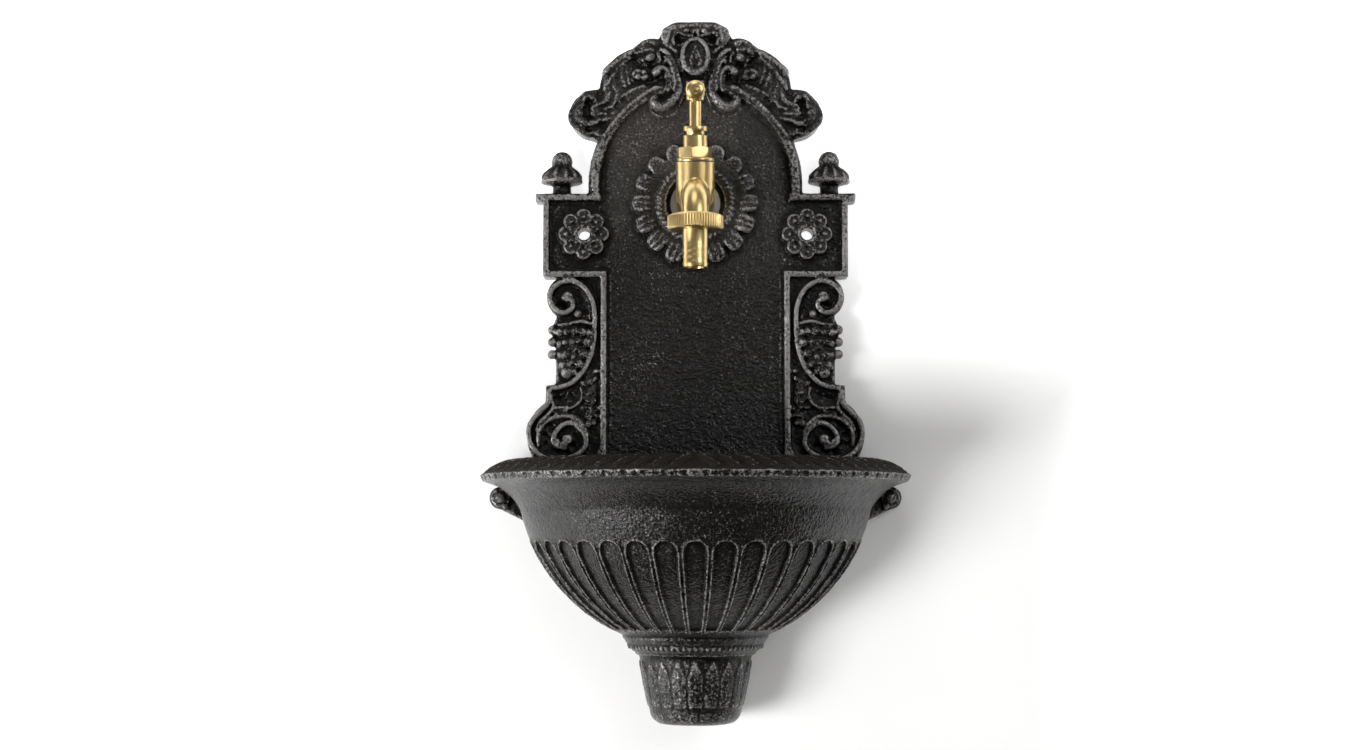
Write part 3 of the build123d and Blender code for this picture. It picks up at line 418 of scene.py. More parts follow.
# %% Leaves and shoulder curls
swelling([(23.4, 112.0, 1.4), (27.6, 112.6, 2.0), (31.2, 111.0, 2.2), (34.4, 108.6, 2.0), (38.0, 106.4, 2.0),
          (43.0, 103.2, 2.0), (48.0, 99.4, 2.0), (52.0, 96.2, 2.2), (53.0, 93.4, 1.6)], 16.8)
swelling([(24.0, 108.4, 1.4), (27.6, 108.4, 2.0), (31.4, 107.8, 2.2), (34.6, 106.2, 1.6)], 17.4)
swelling([(29.8, 104.4, 0.8), (30.6, 101.6, 1.1), (29.6, 98.8, 0.8)], 17.4)
swelling([(57.2, 81.4, 1.8), (60.6, 82.8, 2.2), (64.4, 81.8, 2.2), (66.8, 78.6, 2.2), (69.6, 75.2, 2.2),
          (72.0, 71.8, 2.2), (72.2, 67.2, 2.2), (69.0, 63.2, 2.2), (65.0, 60.8, 2.0), (61.0, 60.0, 1.6)],
         15.6)
swelling([(56.0, 67.0, 1.2), (59.4, 65.2, 1.9), (62.6, 64.6, 2.2), (65.8, 66.2, 2.4), (68.2, 69.2, 2.5),
          (68.0, 72.4, 2.3), (66.0, 75.0, 1.7), (64.4, 77.2, 1.0)], 17.8)
swelling([(57.8, 77.2, 0.8), (59.2, 79.2, 1.5), (61.6, 80.8, 1.8), (64.2, 80.2, 1.4), (65.6, 77.8, 0.9)],
         17.6)
lumps([(67.4, 70.8, 2.5, 2.1, 0.0), (64.6, 66.0, 2.1, 1.6, 0.5), (61.0, 64.6, 1.9, 1.4, 0.2),
       (60.4, 80.2, 1.7, 1.3, 0.6)], 18.8, 1.9)
swelling([(19.4, 86.0, 1.0), (22.4, 86.0, 1.6), (27.0, 83.8, 1.6), (32.4, 80.4, 1.5), (38.0, 75.8, 1.5),
          (43.4, 70.4, 1.4), (48.6, 64.2, 1.4), (53.4, 57.4, 1.2)], 17.2)
masses = [(45.5, 88.0, 7.0, 17.0, -0.42), (30.0, 108.0, 8.0, 4.6, 0.5), (61.0, 70.0, 9.0, 7.0, 0.3),
          (33.0, 83.0, 11.0, 3.6, 0.5), (48.0, 98.0, 8.0, 3.6, 0.55)]
for mass in masses:
    lumps([mass], 15.6, 2.4)
leaf_ridges = [
    [(26.0, 88.4, 0.7), (31.0, 86.6, 1.2), (36.4, 84.4, 1.5), (41.6, 81.4, 1.3), (44.4, 78.0, 0.7)],
    [(37.4, 98.0, 0.6), (37.6, 95.0, 1.1), (36.9, 92.0, 1.1), (36.6, 89.4, 0.6)],
    [(40.4, 99.4, 0.6), (40.2, 95.6, 1.2), (38.8, 91.6, 1.2), (38.4, 88.0, 0.7)],
    [(42.4, 98.6, 0.7), (43.6, 95.0, 1.4), (42.6, 90.6, 1.5), (41.4, 86.6, 0.9)],
    [(44.2, 92.6, 0.6), (45.2, 89.6, 1.1), (44.4, 85.4, 0.7)],
    [(37.8, 104.0, 0.9), (42.0, 100.6, 1.5), (46.0, 96.2, 1.8), (49.2, 91.6, 1.8), (51.6, 87.4, 1.5),
     (53.8, 84.0, 0.9)],
    [(46.4, 93.0, 0.7), (48.0, 89.6, 1.3), (47.6, 86.4, 1.4), (46.4, 83.4, 1.2), (46.6, 79.6, 1.2),
     (47.8, 76.2, 1.3), (50.6, 74.0, 1.3), (53.6, 73.2, 0.7)],
    [(50.0, 85.6, 0.8), (50.6, 81.6, 1.5), (52.6, 78.2, 1.5), (56.2, 76.4, 1.3), (60.0, 75.2, 0.8)],
    [(47.6, 71.4, 0.7), (52.0, 70.8, 1.2), (56.6, 70.4, 1.3), (60.6, 70.6, 0.8)],
    [(48.6, 68.2, 0.8), (52.6, 67.2, 1.4), (56.6, 66.6, 1.5)],
]
for path in leaf_ridges:
    swelling(path, 17.2)
print("marks on the crown:", len(marks))

# %% [markdown]
# ## Rosettes
# Two small rosettes carry the screw holes and a large one frames the tap. A small petal is a shallow spoon: a
# thin raised rim round a hollow with a dot in it. A large petal is three lobes side by side, the middle one
# longest, and the top of the ring is worn. A row of slanting beads makes the rope inside it. A modelled petal
# could be copied by an array modifier, but single copies can be worn one by one. The hollows and the gaps
# between the petals are pressed in later.

# %% Petals and rope
def petal_turns(count):
    """Angles of equal petals, clockwise from the top."""
    return [2 * math.pi * index / count for index in range(count)]


def round_rosette(x, z, circle, turn, depth, aside=0.0):
    """A place on a circle of the plate, moved sideways along the circle."""
    return on_panel(x + circle * math.sin(turn) + aside * math.cos(turn),
                    z + circle * math.cos(turn) - aside * math.sin(turn), depth)


tap_level = 18.0
small_petals, large_petals, rope_beads = 8, 16, 44
for side in (-1, 1):
    middle = side * screw_x
    petals = [round_rosette(middle, 0, 10.4, turn, 17.0) for turn in petal_turns(small_petals)]
    marks += copies(unit_ring(0.21), [sized(place, 3.6, 3.6, 3.6) for place in petals])
    marks += copies(unit_ball(), [sized(place, 1.3, 1.3, 0.8) for place in petals])
    marks += copies(unit_ring(0.2), [sized(on_panel(middle, 0, 16.8), 5.0, 5.0, 5.0)])
for turn in petal_turns(large_petals):
    worn = 2.2 * max(0.0, math.cos(turn)) ** 1.5
    for aside, length in ((-3.3, 5.6), (0.0, 6.6), (3.3, 5.6)):
        place = round_rosette(0, tap_level, 30.6, turn, 17.2 - worn, aside)
        marks += copies(unit_ball(), [sized(place, 2.1, length, 2.4, turn)])
for turn in petal_turns(rope_beads):
    place = round_rosette(0, tap_level, 21.3, turn, 18.0)
    marks += copies(unit_ball(), [sized(place, 1.2, 2.4, 1.7 + 0.3 * math.sin(5 * turn), turn + 0.7)])
print("marks with rosettes:", len(marks))

# %% [markdown]
# ## Side consoles
# Each side of the plate is a console: a band that rolls into a volute above and a larger one below, with a
# bunch of grapes between them and a frilled leaf over the lower roll. The solids hold the bands, so only the
# berries, the leaf and the fine ridges are laid on. Berries scattered by chance would do for a bunch, but
# these are placed one by one, because the eye knows the bunch by its outline.

# %% Grapes, leaf and ridges
grapes = [(61.6, -57.6, 2.2), (65.2, -57.2, 2.4), (69.6, -57.0, 3.0), (74.8, -57.4, 2.5), (78.6, -57.6, 2.3),
          (81.0, -57.2, 1.6), (62.6, -63.2, 2.7), (67.4, -62.6, 2.4), (71.8, -62.8, 2.3), (75.6, -63.2, 2.3),
          (78.6, -64.2, 2.0), (65.0, -69.6, 2.8), (69.2, -67.4, 2.2), (72.2, -66.8, 1.9), (75.4, -70.6, 3.0),
          (78.4, -70.4, 1.8), (70.4, -71.6, 2.2), (67.4, -75.6, 2.6), (72.4, -75.6, 2.4), (76.8, -76.2, 2.2),
          (74.5, -81.0, 3.4), (70.6, -80.0, 2.0), (68.1, -46.7, 2.2)]
frills = [(57.5, -80.0, 1.3), (58.5, -84.5, 1.4), (61.0, -86.0, 1.4), (64.5, -87.0, 1.5), (61.0, -92.5, 1.5),
          (58.5, -97.0, 1.5), (62.5, -97.0, 1.4), (64.5, -101.0, 1.5), (56.6, -101.6, 1.2),
          (60.4, -101.6, 1.4), (57.0, -105.8, 1.1), (59.6, -105.8, 1.2), (74.6, -102.2, 1.6),
          (76.2, -105.4, 1.1), (78.6, -105.2, 1.1), (80.8, -104.8, 1.1), (62.0, -110.4, 1.6),
          (59.0, -110.0, 1.3)]
lumps([(71.2, -67.0, 9.4, 15.0, 0.0)], 14.6, 2.8)
bead_pairs(grapes, 17.0)
lumps([(61.4, -91.0, 4.6, 11.5, 0.1), (60.0, -106.0, 4.4, 5.0, 0.0), (77.0, -104.0, 6.0, 2.2, 0.1)],
      13.6, 2.2)
lumps([(x, z, 1.5 * size, 0.9 * size, 0.9 * index) for index, (x, z, size) in enumerate(frills)], 15.8, 1.3)
pair([(59.5, -52.6), (63.0, -51.6), (66.2, -51.0), (70.0, -51.6), (74.8, -52.8), (80.2, -52.8)], 1.1, 16.2)
pair([(71.2, -41.0), (72.4, -38.6), (75.0, -37.4), (77.8, -37.8)], 1.7, 17.2)
pair([(83.0, -91.0), (83.2, -96.0), (82.4, -101.0), (85.6, -105.4), (89.8, -109.4), (92.4, -114.6)],
     1.0, 16.2)
pair([(84.2, -102.6), (79.0, -101.0), (73.0, -101.4), (67.6, -98.4), (65.6, -93.6), (66.8, -89.0)],
     1.0, 16.0)
pair([(90.6, -123.6), (91.0, -118.6), (89.6, -113.2), (86.6, -109.6), (82.4, -107.2), (77.6, -106.0),
      (72.6, -106.2), (68.4, -108.2), (65.2, -111.2), (63.2, -115.4), (62.6, -120.0)], 1.4, 16.4)
pair([(72.6, -121.6), (75.0, -120.4), (77.8, -122.4), (80.0, -119.4)], 1.5, 17.2)
pair([(66.0, -32.6), (62.8, -38.4), (61.4, -45.0), (61.4, -49.6)], 0.8, 14.6)
pair([(49.4, -24.0), (49.4, -60.0), (49.4, -100.0), (49.8, -122.0)], 0.8, 13.8, 1.0)
pair([(53.3, -116.0), (53.8, -123.0), (56.2, -128.6), (60.6, -131.6)], 1.7, 16.0)
print("marks with consoles:", len(marks))

# %% Finial petals and ears
finial_x, finial_depth = 78.2, 9.0
finial_rib = [(5.6, 40.2), (8.4, 37.4), (11.0, 34.2), (11.4, 32.4)]
for side in (-1, 1):
    for turn in np.radians([-75, -45, -15, 15, 45, 75]):
        rib = [on_panel(side * finial_x + r * math.sin(turn), z, finial_depth + r * math.cos(turn))
               for r, z in finial_rib]
        marks.append(stroke(rib, [0.8, 1.3, 1.6, 1.0]))
bead_pairs([(113.0, -153.2, 3.4), (110.4, -158.0, 1.8), (115.6, -149.4, 1.6)], 11.4)
print("marks on the plate:", len(marks))

# %% [markdown]
# ## Casting the plate
# The solid's plain bosses on the crown are levelled first, because the carving takes their place. Then the
# marks become meshes and are joined to the copy of the solid. A boolean union would leave hard creases, so a
# voxel remesh makes one closed skin of even quads instead, and a few smoothing passes round it as sand
# casting does. Hollows are pressed in with a soft round tool: points near a place move
# inwards along their normals.

# %% Join, melt and press
def melt(piece, added, voxel):
    """Joins the marks to a piece and melts them into one skin."""
    bpy.ops.object.select_all(action="DESELECT")
    for mark in added:
        mark.select_set(True)
    curves = [mark for mark in added if mark.type == "CURVE"]
    bpy.context.view_layer.objects.active = curves[0]
    bpy.ops.object.convert(target="MESH")
    piece.select_set(True)
    bpy.context.view_layer.objects.active = piece
    bpy.ops.object.join()
    apply(piece, "REMESH", mode="VOXEL", voxel_size=voxel)
    apply(piece, "SMOOTH", factor=0.5, iterations=2)
    print(piece.name, "melted to", len(piece.data.polygons), "quads")


def skin_points(piece):
    """Places and normals of all points of a skin."""
    count = len(piece.data.vertices)
    places, normals = np.empty(count * 3), np.empty(count * 3)
    piece.data.vertices.foreach_get("co", places)
    piece.data.vertex_normals.foreach_get("vector", normals)
    return places.reshape(-1, 3), normals.reshape(-1, 3)


def press(piece, places, radius, depth):
    """Presses soft round hollows of one size into a skin."""
    points, normals = skin_points(piece)
    for place in places:
        close = np.flatnonzero(np.abs(points - np.array(place)).max(axis=1) < radius * mm)
        near = np.linalg.norm(points[close] - np.array(place), axis=1) / (radius * mm)
        fall = np.clip(1 - near ** 2, 0, 1) ** 2
        points[close] -= normals[close] * (fall * depth * mm)[:, None]
    piece.data.vertices.foreach_set("co", points.ravel())
    piece.data.update()


crown_foot, crown_ground, curl_ground = 56, 16.5, 14.2
skin_voxel = 0.00065
panel = solid_copy("back_panel", "panel_casting")
for vertex in panel.data.vertices:
    aside, depth, level = vertex.co.x / mm, -vertex.co.y / mm, vertex.co.z / mm
    on_cartouche = math.hypot(aside / 9.5, (level - cartouche_level) / 12) < 1
    if level > crown_foot and depth > 17.6 and not on_cartouche:
        vertex.co.y = -(curl_ground if level < 77 and abs(aside) < 27 else crown_ground) * mm
melt(panel, marks, skin_voxel)

# %% Hollows in the plate
crown_hollows = [(25.6, 99.2), (20.8, 91.6), (34.6, 101.6), (17.8, 104.0), (9.6, 113.4), (27.4, 88.6),
                 (42.4, 79.0), (50.4, 71.8), (62.8, 76.0), (62.8, 72.6), (62.0, 68.6), (55.4, 83.0),
                 (31.6, 99.6), (24.4, 89.6), (44.8, 74.8), (62.4, 61.6)]
console_hollows = [(76.0, -95.5), (72.0, -94.4), (79.6, -96.4), (75.0, -127.4), (79.4, -127.2),
                   (70.4, -124.0), (86.6, -117.4), (86.2, -122.0), (84.0, -112.4), (70.6, -110.6),
                   (78.6, -42.0), (76.4, -42.6)]
for side in (-1, 1):
    petals = [round_rosette(side * screw_x, 0, 8.2, turn, 17.0) for turn in petal_turns(small_petals)]
    press(panel, petals, 1.8, 0.8)
    press(panel, [on_panel(side * x, z, 17.0) for x, z in crown_hollows], 3.0, 2.0)
    press(panel, [on_panel(side * x, z, 15.0) for x, z in console_hollows], 3.4, 1.6)
gaps = [round_rosette(0, tap_level, circle, turn + math.pi / large_petals, 17.0)
        for turn in petal_turns(large_petals) for circle in (27.0, 28.6, 30.2, 31.8, 33.4)]
press(panel, gaps, 1.6, 0.7)
print("hollows pressed")

# %% [markdown]
# ## The sand-cast skin
# Sand leaves a casting slightly uneven, so a cloud texture pushes the skin in and out by tenths of a
# millimetre. Paint and brush treat crests, hollows and upward faces differently. How far each point stands
# proud, at a narrow and a wide reach, and how far it faces up are stored with the mesh for the paint to read.
# The paint could find crests by itself with a pointiness node, but stored values follow the mesh everywhere.
# The grapes and the frilled leaf lie deep, so a brush missed them, and their values are weakened.

# %% Unevenness, stored reliefs and thinning
grain = bpy.data.textures.new("sand_grain", "CLOUDS")
grain.noise_scale = 0.004
grain.noise_depth = 2
reaches = {10: ("edge", 1.6), 80: ("raised", 0.5)}
triangle_limit = 196000


def store(piece, name, values):
    """Stores one value per point, kept between nought and one."""
    layer = piece.data.attributes.new(name, "FLOAT", "POINT")
    layer.data.foreach_set("value", np.clip(values, 0, 1).astype(np.float32))


def mark_relief(piece):
    """Stores how far each point stands proud of a smoothed skin, and how far it faces up."""
    points, normals = skin_points(piece)
    count = len(points)
    edges = np.empty(len(piece.data.edges) * 2, dtype=np.int64)
    piece.data.edges.foreach_get("vertices", edges)
    one, two = edges.reshape(-1, 2).T
    links = np.maximum(np.bincount(one, minlength=count) + np.bincount(two, minlength=count), 1)[:, None]
    smooth = points.copy()
    for step in range(1, max(reaches) + 1):
        pulled = np.column_stack([np.bincount(one, smooth[two, axis], count)
                                  + np.bincount(two, smooth[one, axis], count) for axis in range(3)])
        smooth = 0.4 * smooth + 0.6 * pulled / links
        if step in reaches:
            name, gain = reaches[step]
            lift = ((points - smooth) * normals).sum(axis=1) / mm
            store(piece, name, 0.5 + lift * gain)
    store(piece, "upward", normals[:, 2])


def cast_skin(piece, node):
    """Makes a skin uneven within its solid's box, stores its reliefs and thins it where it is flat."""
    apply(piece, "DISPLACE", texture=grain, texture_coords="LOCAL", strength=0.0005, mid_level=0.5)
    mark_relief(piece)
    share = triangle_limit / (2 * len(piece.data.polygons))
    if share < 1:
        apply(piece, "DECIMATE", ratio=share)
    low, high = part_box(node)
    points = np.clip(skin_points(piece)[0], np.array(low), np.array(high))
    piece.data.vertices.foreach_set("co", points.ravel())
    piece.data.update()
    alone(piece)
    bpy.ops.object.shade_smooth()
    print(piece.name, "has", len(piece.data.polygons), "faces")


def keep_black(piece, places):
    """Weakens the stored reliefs in ovals on both sides of the plate, by place and half widths."""
    aside, _, level = np.abs(skin_points(piece)[0].T) / mm
    for name in ("edge", "raised"):
        values = np.empty(len(aside), dtype=np.float32)
        piece.data.attributes[name].data.foreach_get("value", values)
        for x, z, width, height in places:
            inside = np.clip(1.6 - 1.6 * (((aside - x) / width) ** 2 + ((level - z) / height) ** 2), 0, 1)
            values -= (values - 0.42) * 0.6 * inside
        piece.data.attributes[name].data.foreach_set("value", values)


cast_skin(panel, "back_panel")
keep_black(panel, [(70.5, 67.0, 10.0, 15.5), (61.0, 95.0, 6.5, 17.0)])

# %% [markdown]
# ## The bowl
# The bowl hangs under the plate: a wide lip of lying leaves, a plain grainy band, a row of tongues with thin
# raised rims, a beaded collar and a neck of pointed leaves. One tongue could be modelled and turned about the
# axis in copies. Here each mark is placed by its radius, its angle and its level instead, because the solid
# has the tongues and the leaves already, and the strokes only sharpen their rims and veins. Narrow grooves
# between the tongues and small tabs under the lip are pressed in after the melting.

# %% Tongue rims
bowl_axis = 28.0
bowl_centre = -137.4
bowl_radius = 102.4
tongue_step, rim_lift = 10, 0.1
bowl_marks = []


def round_bowl(radius, degrees, level):
    """A place round the bowl's axis, with the angle from the front."""
    turn = math.radians(degrees)
    return on_panel(radius * math.sin(turn), level, bowl_axis + radius * math.cos(turn))


def on_sphere(degrees, fall):
    """A place just over the ball of the bowl, by its angle from the front and its fall below the centre."""
    drop = math.radians(fall)
    radius = bowl_radius + rim_lift
    return round_bowl(radius * math.cos(drop), degrees, bowl_centre - radius * math.sin(drop))


top_fall, end_fall = 22.8, 63.0
falls = np.linspace(end_fall, top_fall + 4.2, 7)
halves = 4.25 - 0.1 * (falls - top_fall) / (end_fall - top_fall)
for middle in range(-90, 91, tongue_step):
    left = [on_sphere(middle - half, fall) for fall, half in zip(falls, halves)]
    right = [on_sphere(middle + half, fall) for fall, half in zip(falls[::-1], halves[::-1])]
    cap = [on_sphere(middle + aside, top_fall + fall) for aside, fall in ((-2.7, 1.2), (0, 0.3), (2.7, 1.2))]
    bowl_marks.append(stroke(left + cap + right, [0.42] * 6 + [0.6] * 6 + [0.42] * 5))
print("tongue rims:", len(bowl_marks))

# %% Lip veins, collar and neck ridges
def on_bowl(path, sizes, middle=0.0, side=1):
    """A stroke through places by radius, angle and level, set off from a middle angle to one side."""
    bowl_marks.append(stroke([round_bowl(r, middle + side * d, z) for r, d, z in path], sizes))


lip_step = 5.1
for index in range(17):
    foot = lip_step * (index + 0.5)
    vein = [(101.5, foot - 2.6, -132.2), (106.5, foot - 0.6, -132.6), (112.0, foot + 1.4, -134.2),
            (118.5, foot + 3.4, -137.4)]
    for side in (-1, 1):
        on_bowl(vein, [0.4, 0.6, 0.6, 0.4], side=side)
flare = [(40.3, -232.0, 1.3), (38.4, -233.8, 1.9), (36.6, -236.0, 2.0), (34.8, -238.4, 1.9),
         (33.0, -240.8, 1.5)]
for radius, level, size in flare:
    on_bowl([(radius, degrees, level) for degrees in range(-120, 121, 12)], [size] * 21)
collar = [round_bowl(38.0, degrees, -236.8) for degrees in range(-100, 101, 5)]
bowl_marks += copies(unit_ball(), [sized(place, 1.1, 2.4, 1.0) for place in collar])
leaf_edge = [(27.2, 6.9, -269.0), (28.9, 6.5, -261.0), (30.4, 6.0, -253.6), (32.0, 0.3, -245.8)]
for middle in range(-90, 91, 18):
    for side in (-1, 1):
        on_bowl(leaf_edge, [0.5, 0.6, 0.6, 0.4], middle, side)
    on_bowl([(27.4, 0, -269.0), (29.6, 0, -258.0), (31.6, 0, -248.0)], [0.5, 0.7, 0.4], middle)
    on_bowl([(26.4, 9, -270.0), (28.8, 9, -258.0), (31.0, 9, -246.0)], [0.4, 0.6, 0.7], middle)
print("marks on the bowl:", len(bowl_marks))

# %% Cast the bowl
bowl = solid_copy("basin", "bowl_casting")
melt(bowl, bowl_marks, skin_voxel)

# %% Grooves between the tongues and tabs under the lip
groove_depth, groove_width = 0.7 * mm, 0.5 * mm
points, normals = skin_points(bowl)
from_axis = points + np.array((0, bowl_axis * mm, -bowl_centre * mm))
reach = np.linalg.norm(from_axis, axis=1)
turns = np.degrees(np.arctan2(from_axis[:, 0], -from_axis[:, 1]))
falls = np.degrees(np.arcsin(np.clip(-from_axis[:, 2] / reach, -1, 1)))
from_groove = np.radians(np.abs((turns % tongue_step) - tongue_step / 2))
across = from_groove * np.hypot(from_axis[:, 0], from_axis[:, 1])
outside = (reach > (bowl_radius - 2) * mm) & (falls > top_fall + 3) & (falls < end_fall)
depth = groove_depth * np.exp(-(across / groove_width) ** 2) * outside
points -= normals * depth[:, None]
bowl.data.vertices.foreach_set("co", points.ravel())
bowl.data.update()
tabs = [round_bowl(122.8, degrees, level)
        for degrees in np.arange(-89.25, 90, lip_step) for level in (-142.6, -144.2)]
press(bowl, tabs, 2.4, 1.3)
cast_skin(bowl, "basin")

# %% [markdown]
# ## Black iron
# The castings are painted glossy black, then brushed with silver so that only crests and the tops of the sand
# grain take it. Upward faces are a lighter dusty brown, partly dust and partly painted light from above.
# Hollows stay black, and painted shade darkens them further and dulls their shine. The field below the tap
# is darker, which is painted shade, a lighter grey on the field beside it is painted light from above, and
# the bowl has less silver. At grazing angles the black takes a warm painted sheen. A painted picture could
# hold all this, but it would be tied to one mesh. One node group turns the stored reliefs, the place and a
# fine noise into these masks, for both iron pieces.

# %% Rubbed silver, sand grain and painted light and shade
def new_group(name, inputs, outputs):
    """A shader node group with named inputs and outputs."""
    tree = bpy.data.node_groups.new(name, "ShaderNodeTree")
    for title, kind, value in inputs:
        socket = tree.interface.new_socket(title, in_out="INPUT", socket_type=kind)
        if value is not None:
            socket.default_value = value
    for title, kind in outputs:
        tree.interface.new_socket(title, in_out="OUTPUT", socket_type=kind)
    return tree, tree.nodes.new("NodeGroupInput"), tree.nodes.new("NodeGroupOutput")


def noise(tree, vector, scale, detail=2.0, roughness=0.5):
    """Noise on a vector, with its scale per metre."""
    sockets = {"Vector": vector, "Scale": scale, "Detail": detail, "Roughness": roughness}
    return add_node(tree, "ShaderNodeTexNoise", sockets).outputs["Fac"]


def blend(tree, factor, one, two):
    """Mix of two colours, each a tuple or a socket."""
    one, two = ((*value, 1) if isinstance(value, tuple) else value for value in (one, two))
    return add_node(tree, "ShaderNodeMix", {0: factor, 6: one, 7: two}, data_type="RGBA").outputs[2]


def centred(tree, value, gain):
    """A value between nought and one as a gain about its middle."""
    return math_node(tree, "MULTIPLY", math_node(tree, "SUBTRACT", value, 0.5), gain)


def product(tree, *factors):
    """Product of several values."""
    result = factors[0]
    for factor in factors[1:]:
        result = math_node(tree, "MULTIPLY", result, factor)
    return result


number = "NodeSocketFloat"
iron_masks, start, end = new_group(
    "silver_grain_and_painted_light", [("Vector", "NodeSocketVector", None), ("Edge", number, 0.5), ("Raised", number, 0.5),
                      ("Upward", number, 0.0)],
    [(title, number) for title in ("Silver", "Hollow", "Height", "Light_on_upper_field", "Grain")])
vector, edge, raised, upward = (start.outputs[name] for name in ("Vector", "Edge", "Raised", "Upward"))
split = add_node(iron_masks, "ShaderNodeSeparateXYZ", {0: vector})
level = split.outputs["Z"]
field = ramp(iron_masks, math_node(iron_masks, "ABSOLUTE", split.outputs["X"], 0.0), 0.053, 0.046)
# Painted shade: the field below the tap gets less silver and the dark colour of the hollows.
lower_field_shade = product(iron_masks, field, ramp(iron_masks, level, 0.06, -0.05), ramp(iron_masks, level, -0.138, -0.128))
upper = product(iron_masks, ramp(iron_masks, level, -0.04, 0.05), ramp(iron_masks, level, 0.09, 0.07), field)
on_bowl_only = product(iron_masks, ramp(iron_masks, level, -0.128, -0.14), ramp(iron_masks, level, -0.245, -0.225))
sand = noise(iron_masks, vector, 540, 2, 0.55)
grit = noise(iron_masks, vector, 720, 2, 0.6)
patches = noise(iron_masks, vector, 45, 3)
grains = ramp(iron_masks, grit, 0.36, 0.66)
# Painted light from above: a lighter grey on the upper field, broken by patches and grain.
upper_field_light = product(iron_masks, upper, ramp(iron_masks, patches, 0.3, 0.65, 0.35, 1.0),
               ramp(iron_masks, grains, 0.0, 1.0, 0.4, 1.0))
take = centred(iron_masks, grit, 1.2)
for value, gain in ((edge, 0.55), (raised, 0.3), (patches, 0.4)):
    take = math_node(iron_masks, "ADD", take, centred(iron_masks, value, gain))
for value, loss in ((lower_field_shade, 0.08), (upward, 0.22), (upper, 0.04), (on_bowl_only, 0.09)):
    take = math_node(iron_masks, "SUBTRACT", take, product(iron_masks, value, loss))
# Hollows keep their black paint; the same mask is painted shade that darkens recesses and the lower field,
# wiping out the grain specks.
hollow_and_shade = math_node(iron_masks, "MAXIMUM", ramp(iron_masks, raised, 0.48, 0.28), product(iron_masks, lower_field_shade, 0.4))
height = math_node(iron_masks, "ADD", sand, product(iron_masks, grit, 0.6))
silver = ramp(iron_masks, take, 0.06, 0.46)
for socket, value in zip(end.inputs, (silver, hollow_and_shade, height, upper_field_light, grains)):
    iron_masks.links.new(value, socket)
print("group:", iron_masks.name)

# %% Iron paint
iron, tree, output = new_material("black_iron")
coordinates = add_node(tree, "ShaderNodeTexCoord")
stored = {name: add_node(tree, "ShaderNodeAttribute", attribute_name=name.lower()).outputs["Fac"]
          for name in ("Edge", "Raised", "Upward")}
sockets = {"Vector": coordinates.outputs["Object"], **stored}
skin = add_node(tree, "ShaderNodeGroup", sockets, node_tree=iron_masks)
# Upward faces turn a lighter brown with less shine: partly dust, partly painted light from above.
most_dust_and_top_light = 0.4
dust_and_top_light = ramp(tree, stored["Upward"], 0.25, 0.8, 0.0, most_dust_and_top_light)
# Painted sheen: a warm brown-grey at grazing angles stands in for reflections along the silhouettes.
grazing = add_node(tree, "ShaderNodeLayerWeight", {"Blend": 0.25})
grazing_sheen = ramp(tree, grazing.outputs["Facing"], 0.5, 1.0, 0.0, 0.35)
paint = (0.0015, 0.0013, 0.0012)
# Black paint, lighter grain specks, painted shade in hollows, painted light on the upper field, a painted sheen
# at grazing angles, lighter brown on upward faces (dust and painted light), and silver over all.
for factor, colour in ((skin.outputs["Grain"], (0.014, 0.0124, 0.0112)),
                       (skin.outputs["Hollow"], (0.0025, 0.0022, 0.002)),
                       (skin.outputs["Light_on_upper_field"], (0.042, 0.0385, 0.0355)),
                       (grazing_sheen, (0.06, 0.05, 0.04)), (dust_and_top_light, (0.03, 0.025, 0.02)),
                       (skin.outputs["Silver"], (0.3, 0.289, 0.284))):
    paint = blend(tree, factor, paint, colour)
# Painted shade on the shine: hollows reflect less, and dusty upward faces reflect less too.
gloss = product(tree, ramp(tree, stored["Raised"], 0.28, 0.48, 0.2, 0.42),
                ramp(tree, dust_and_top_light, 0.0, most_dust_and_top_light, 1.0, 0.1))
rough = math_node(tree, "MAXIMUM", ramp(tree, skin.outputs["Silver"], 0.0, 1.0, 0.22, 0.34),
                  ramp(tree, dust_and_top_light, 0.0, most_dust_and_top_light, 0.22, 0.6))
metal = ramp(tree, skin.outputs["Silver"], 0.0, 1.0, 0.0, 0.8)
bump = add_node(tree, "ShaderNodeBump", {
    "Strength": 0.75, "Distance": 0.001, "Height": skin.outputs["Height"]})
shader = add_node(tree, "ShaderNodeBsdfPrincipled", {
    "Base Color": paint, "Roughness": rough, "Metallic": metal, "Specular IOR Level": gloss,
    "Normal": bump.outputs["Normal"]})
tree.links.new(shader.outputs[0], output.inputs["Surface"])


def hand_over(piece, node, body, material):
    """Gives a finished piece its material and lets it stand for a solid."""
    piece.data.materials.clear()
    piece.data.materials.append(material)
    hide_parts(node)
    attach(piece, body)


hand_over(panel, "back_panel", "fountain", iron)
hand_over(bowl, "basin", "fountain", iron)
print("iron pieces:", panel.name, bowl.name)

# %% [markdown]
# ## Brass, zinc and rubber
# The tap is turned and lightly polished brass: bright, with fine rings from the lathe and a little warm
# tarnish. Washers, nuts and bolts are dull zinc, and the seals are matt rubber. The lathe rings come from
# noise that is stretched along one axis, and the stains from plain noise.

# %% Lathe rings
lathe, start, end = new_group("lathe_rings", [("Vector", "NodeSocketVector", None)],
                              [("Stain", number), ("Height", number)])
stretch = add_node(lathe, "ShaderNodeMapping", {"Vector": start.outputs["Vector"], "Scale": (60, 60, 2600)})
lathe.links.new(noise(lathe, stretch.outputs["Vector"], 1.0, 1), end.inputs["Height"])
stain = ramp(lathe, noise(lathe, start.outputs["Vector"], 150, 4, 0.6), 0.42, 0.72)
lathe.links.new(stain, end.inputs["Stain"])
print("group:", lathe.name)

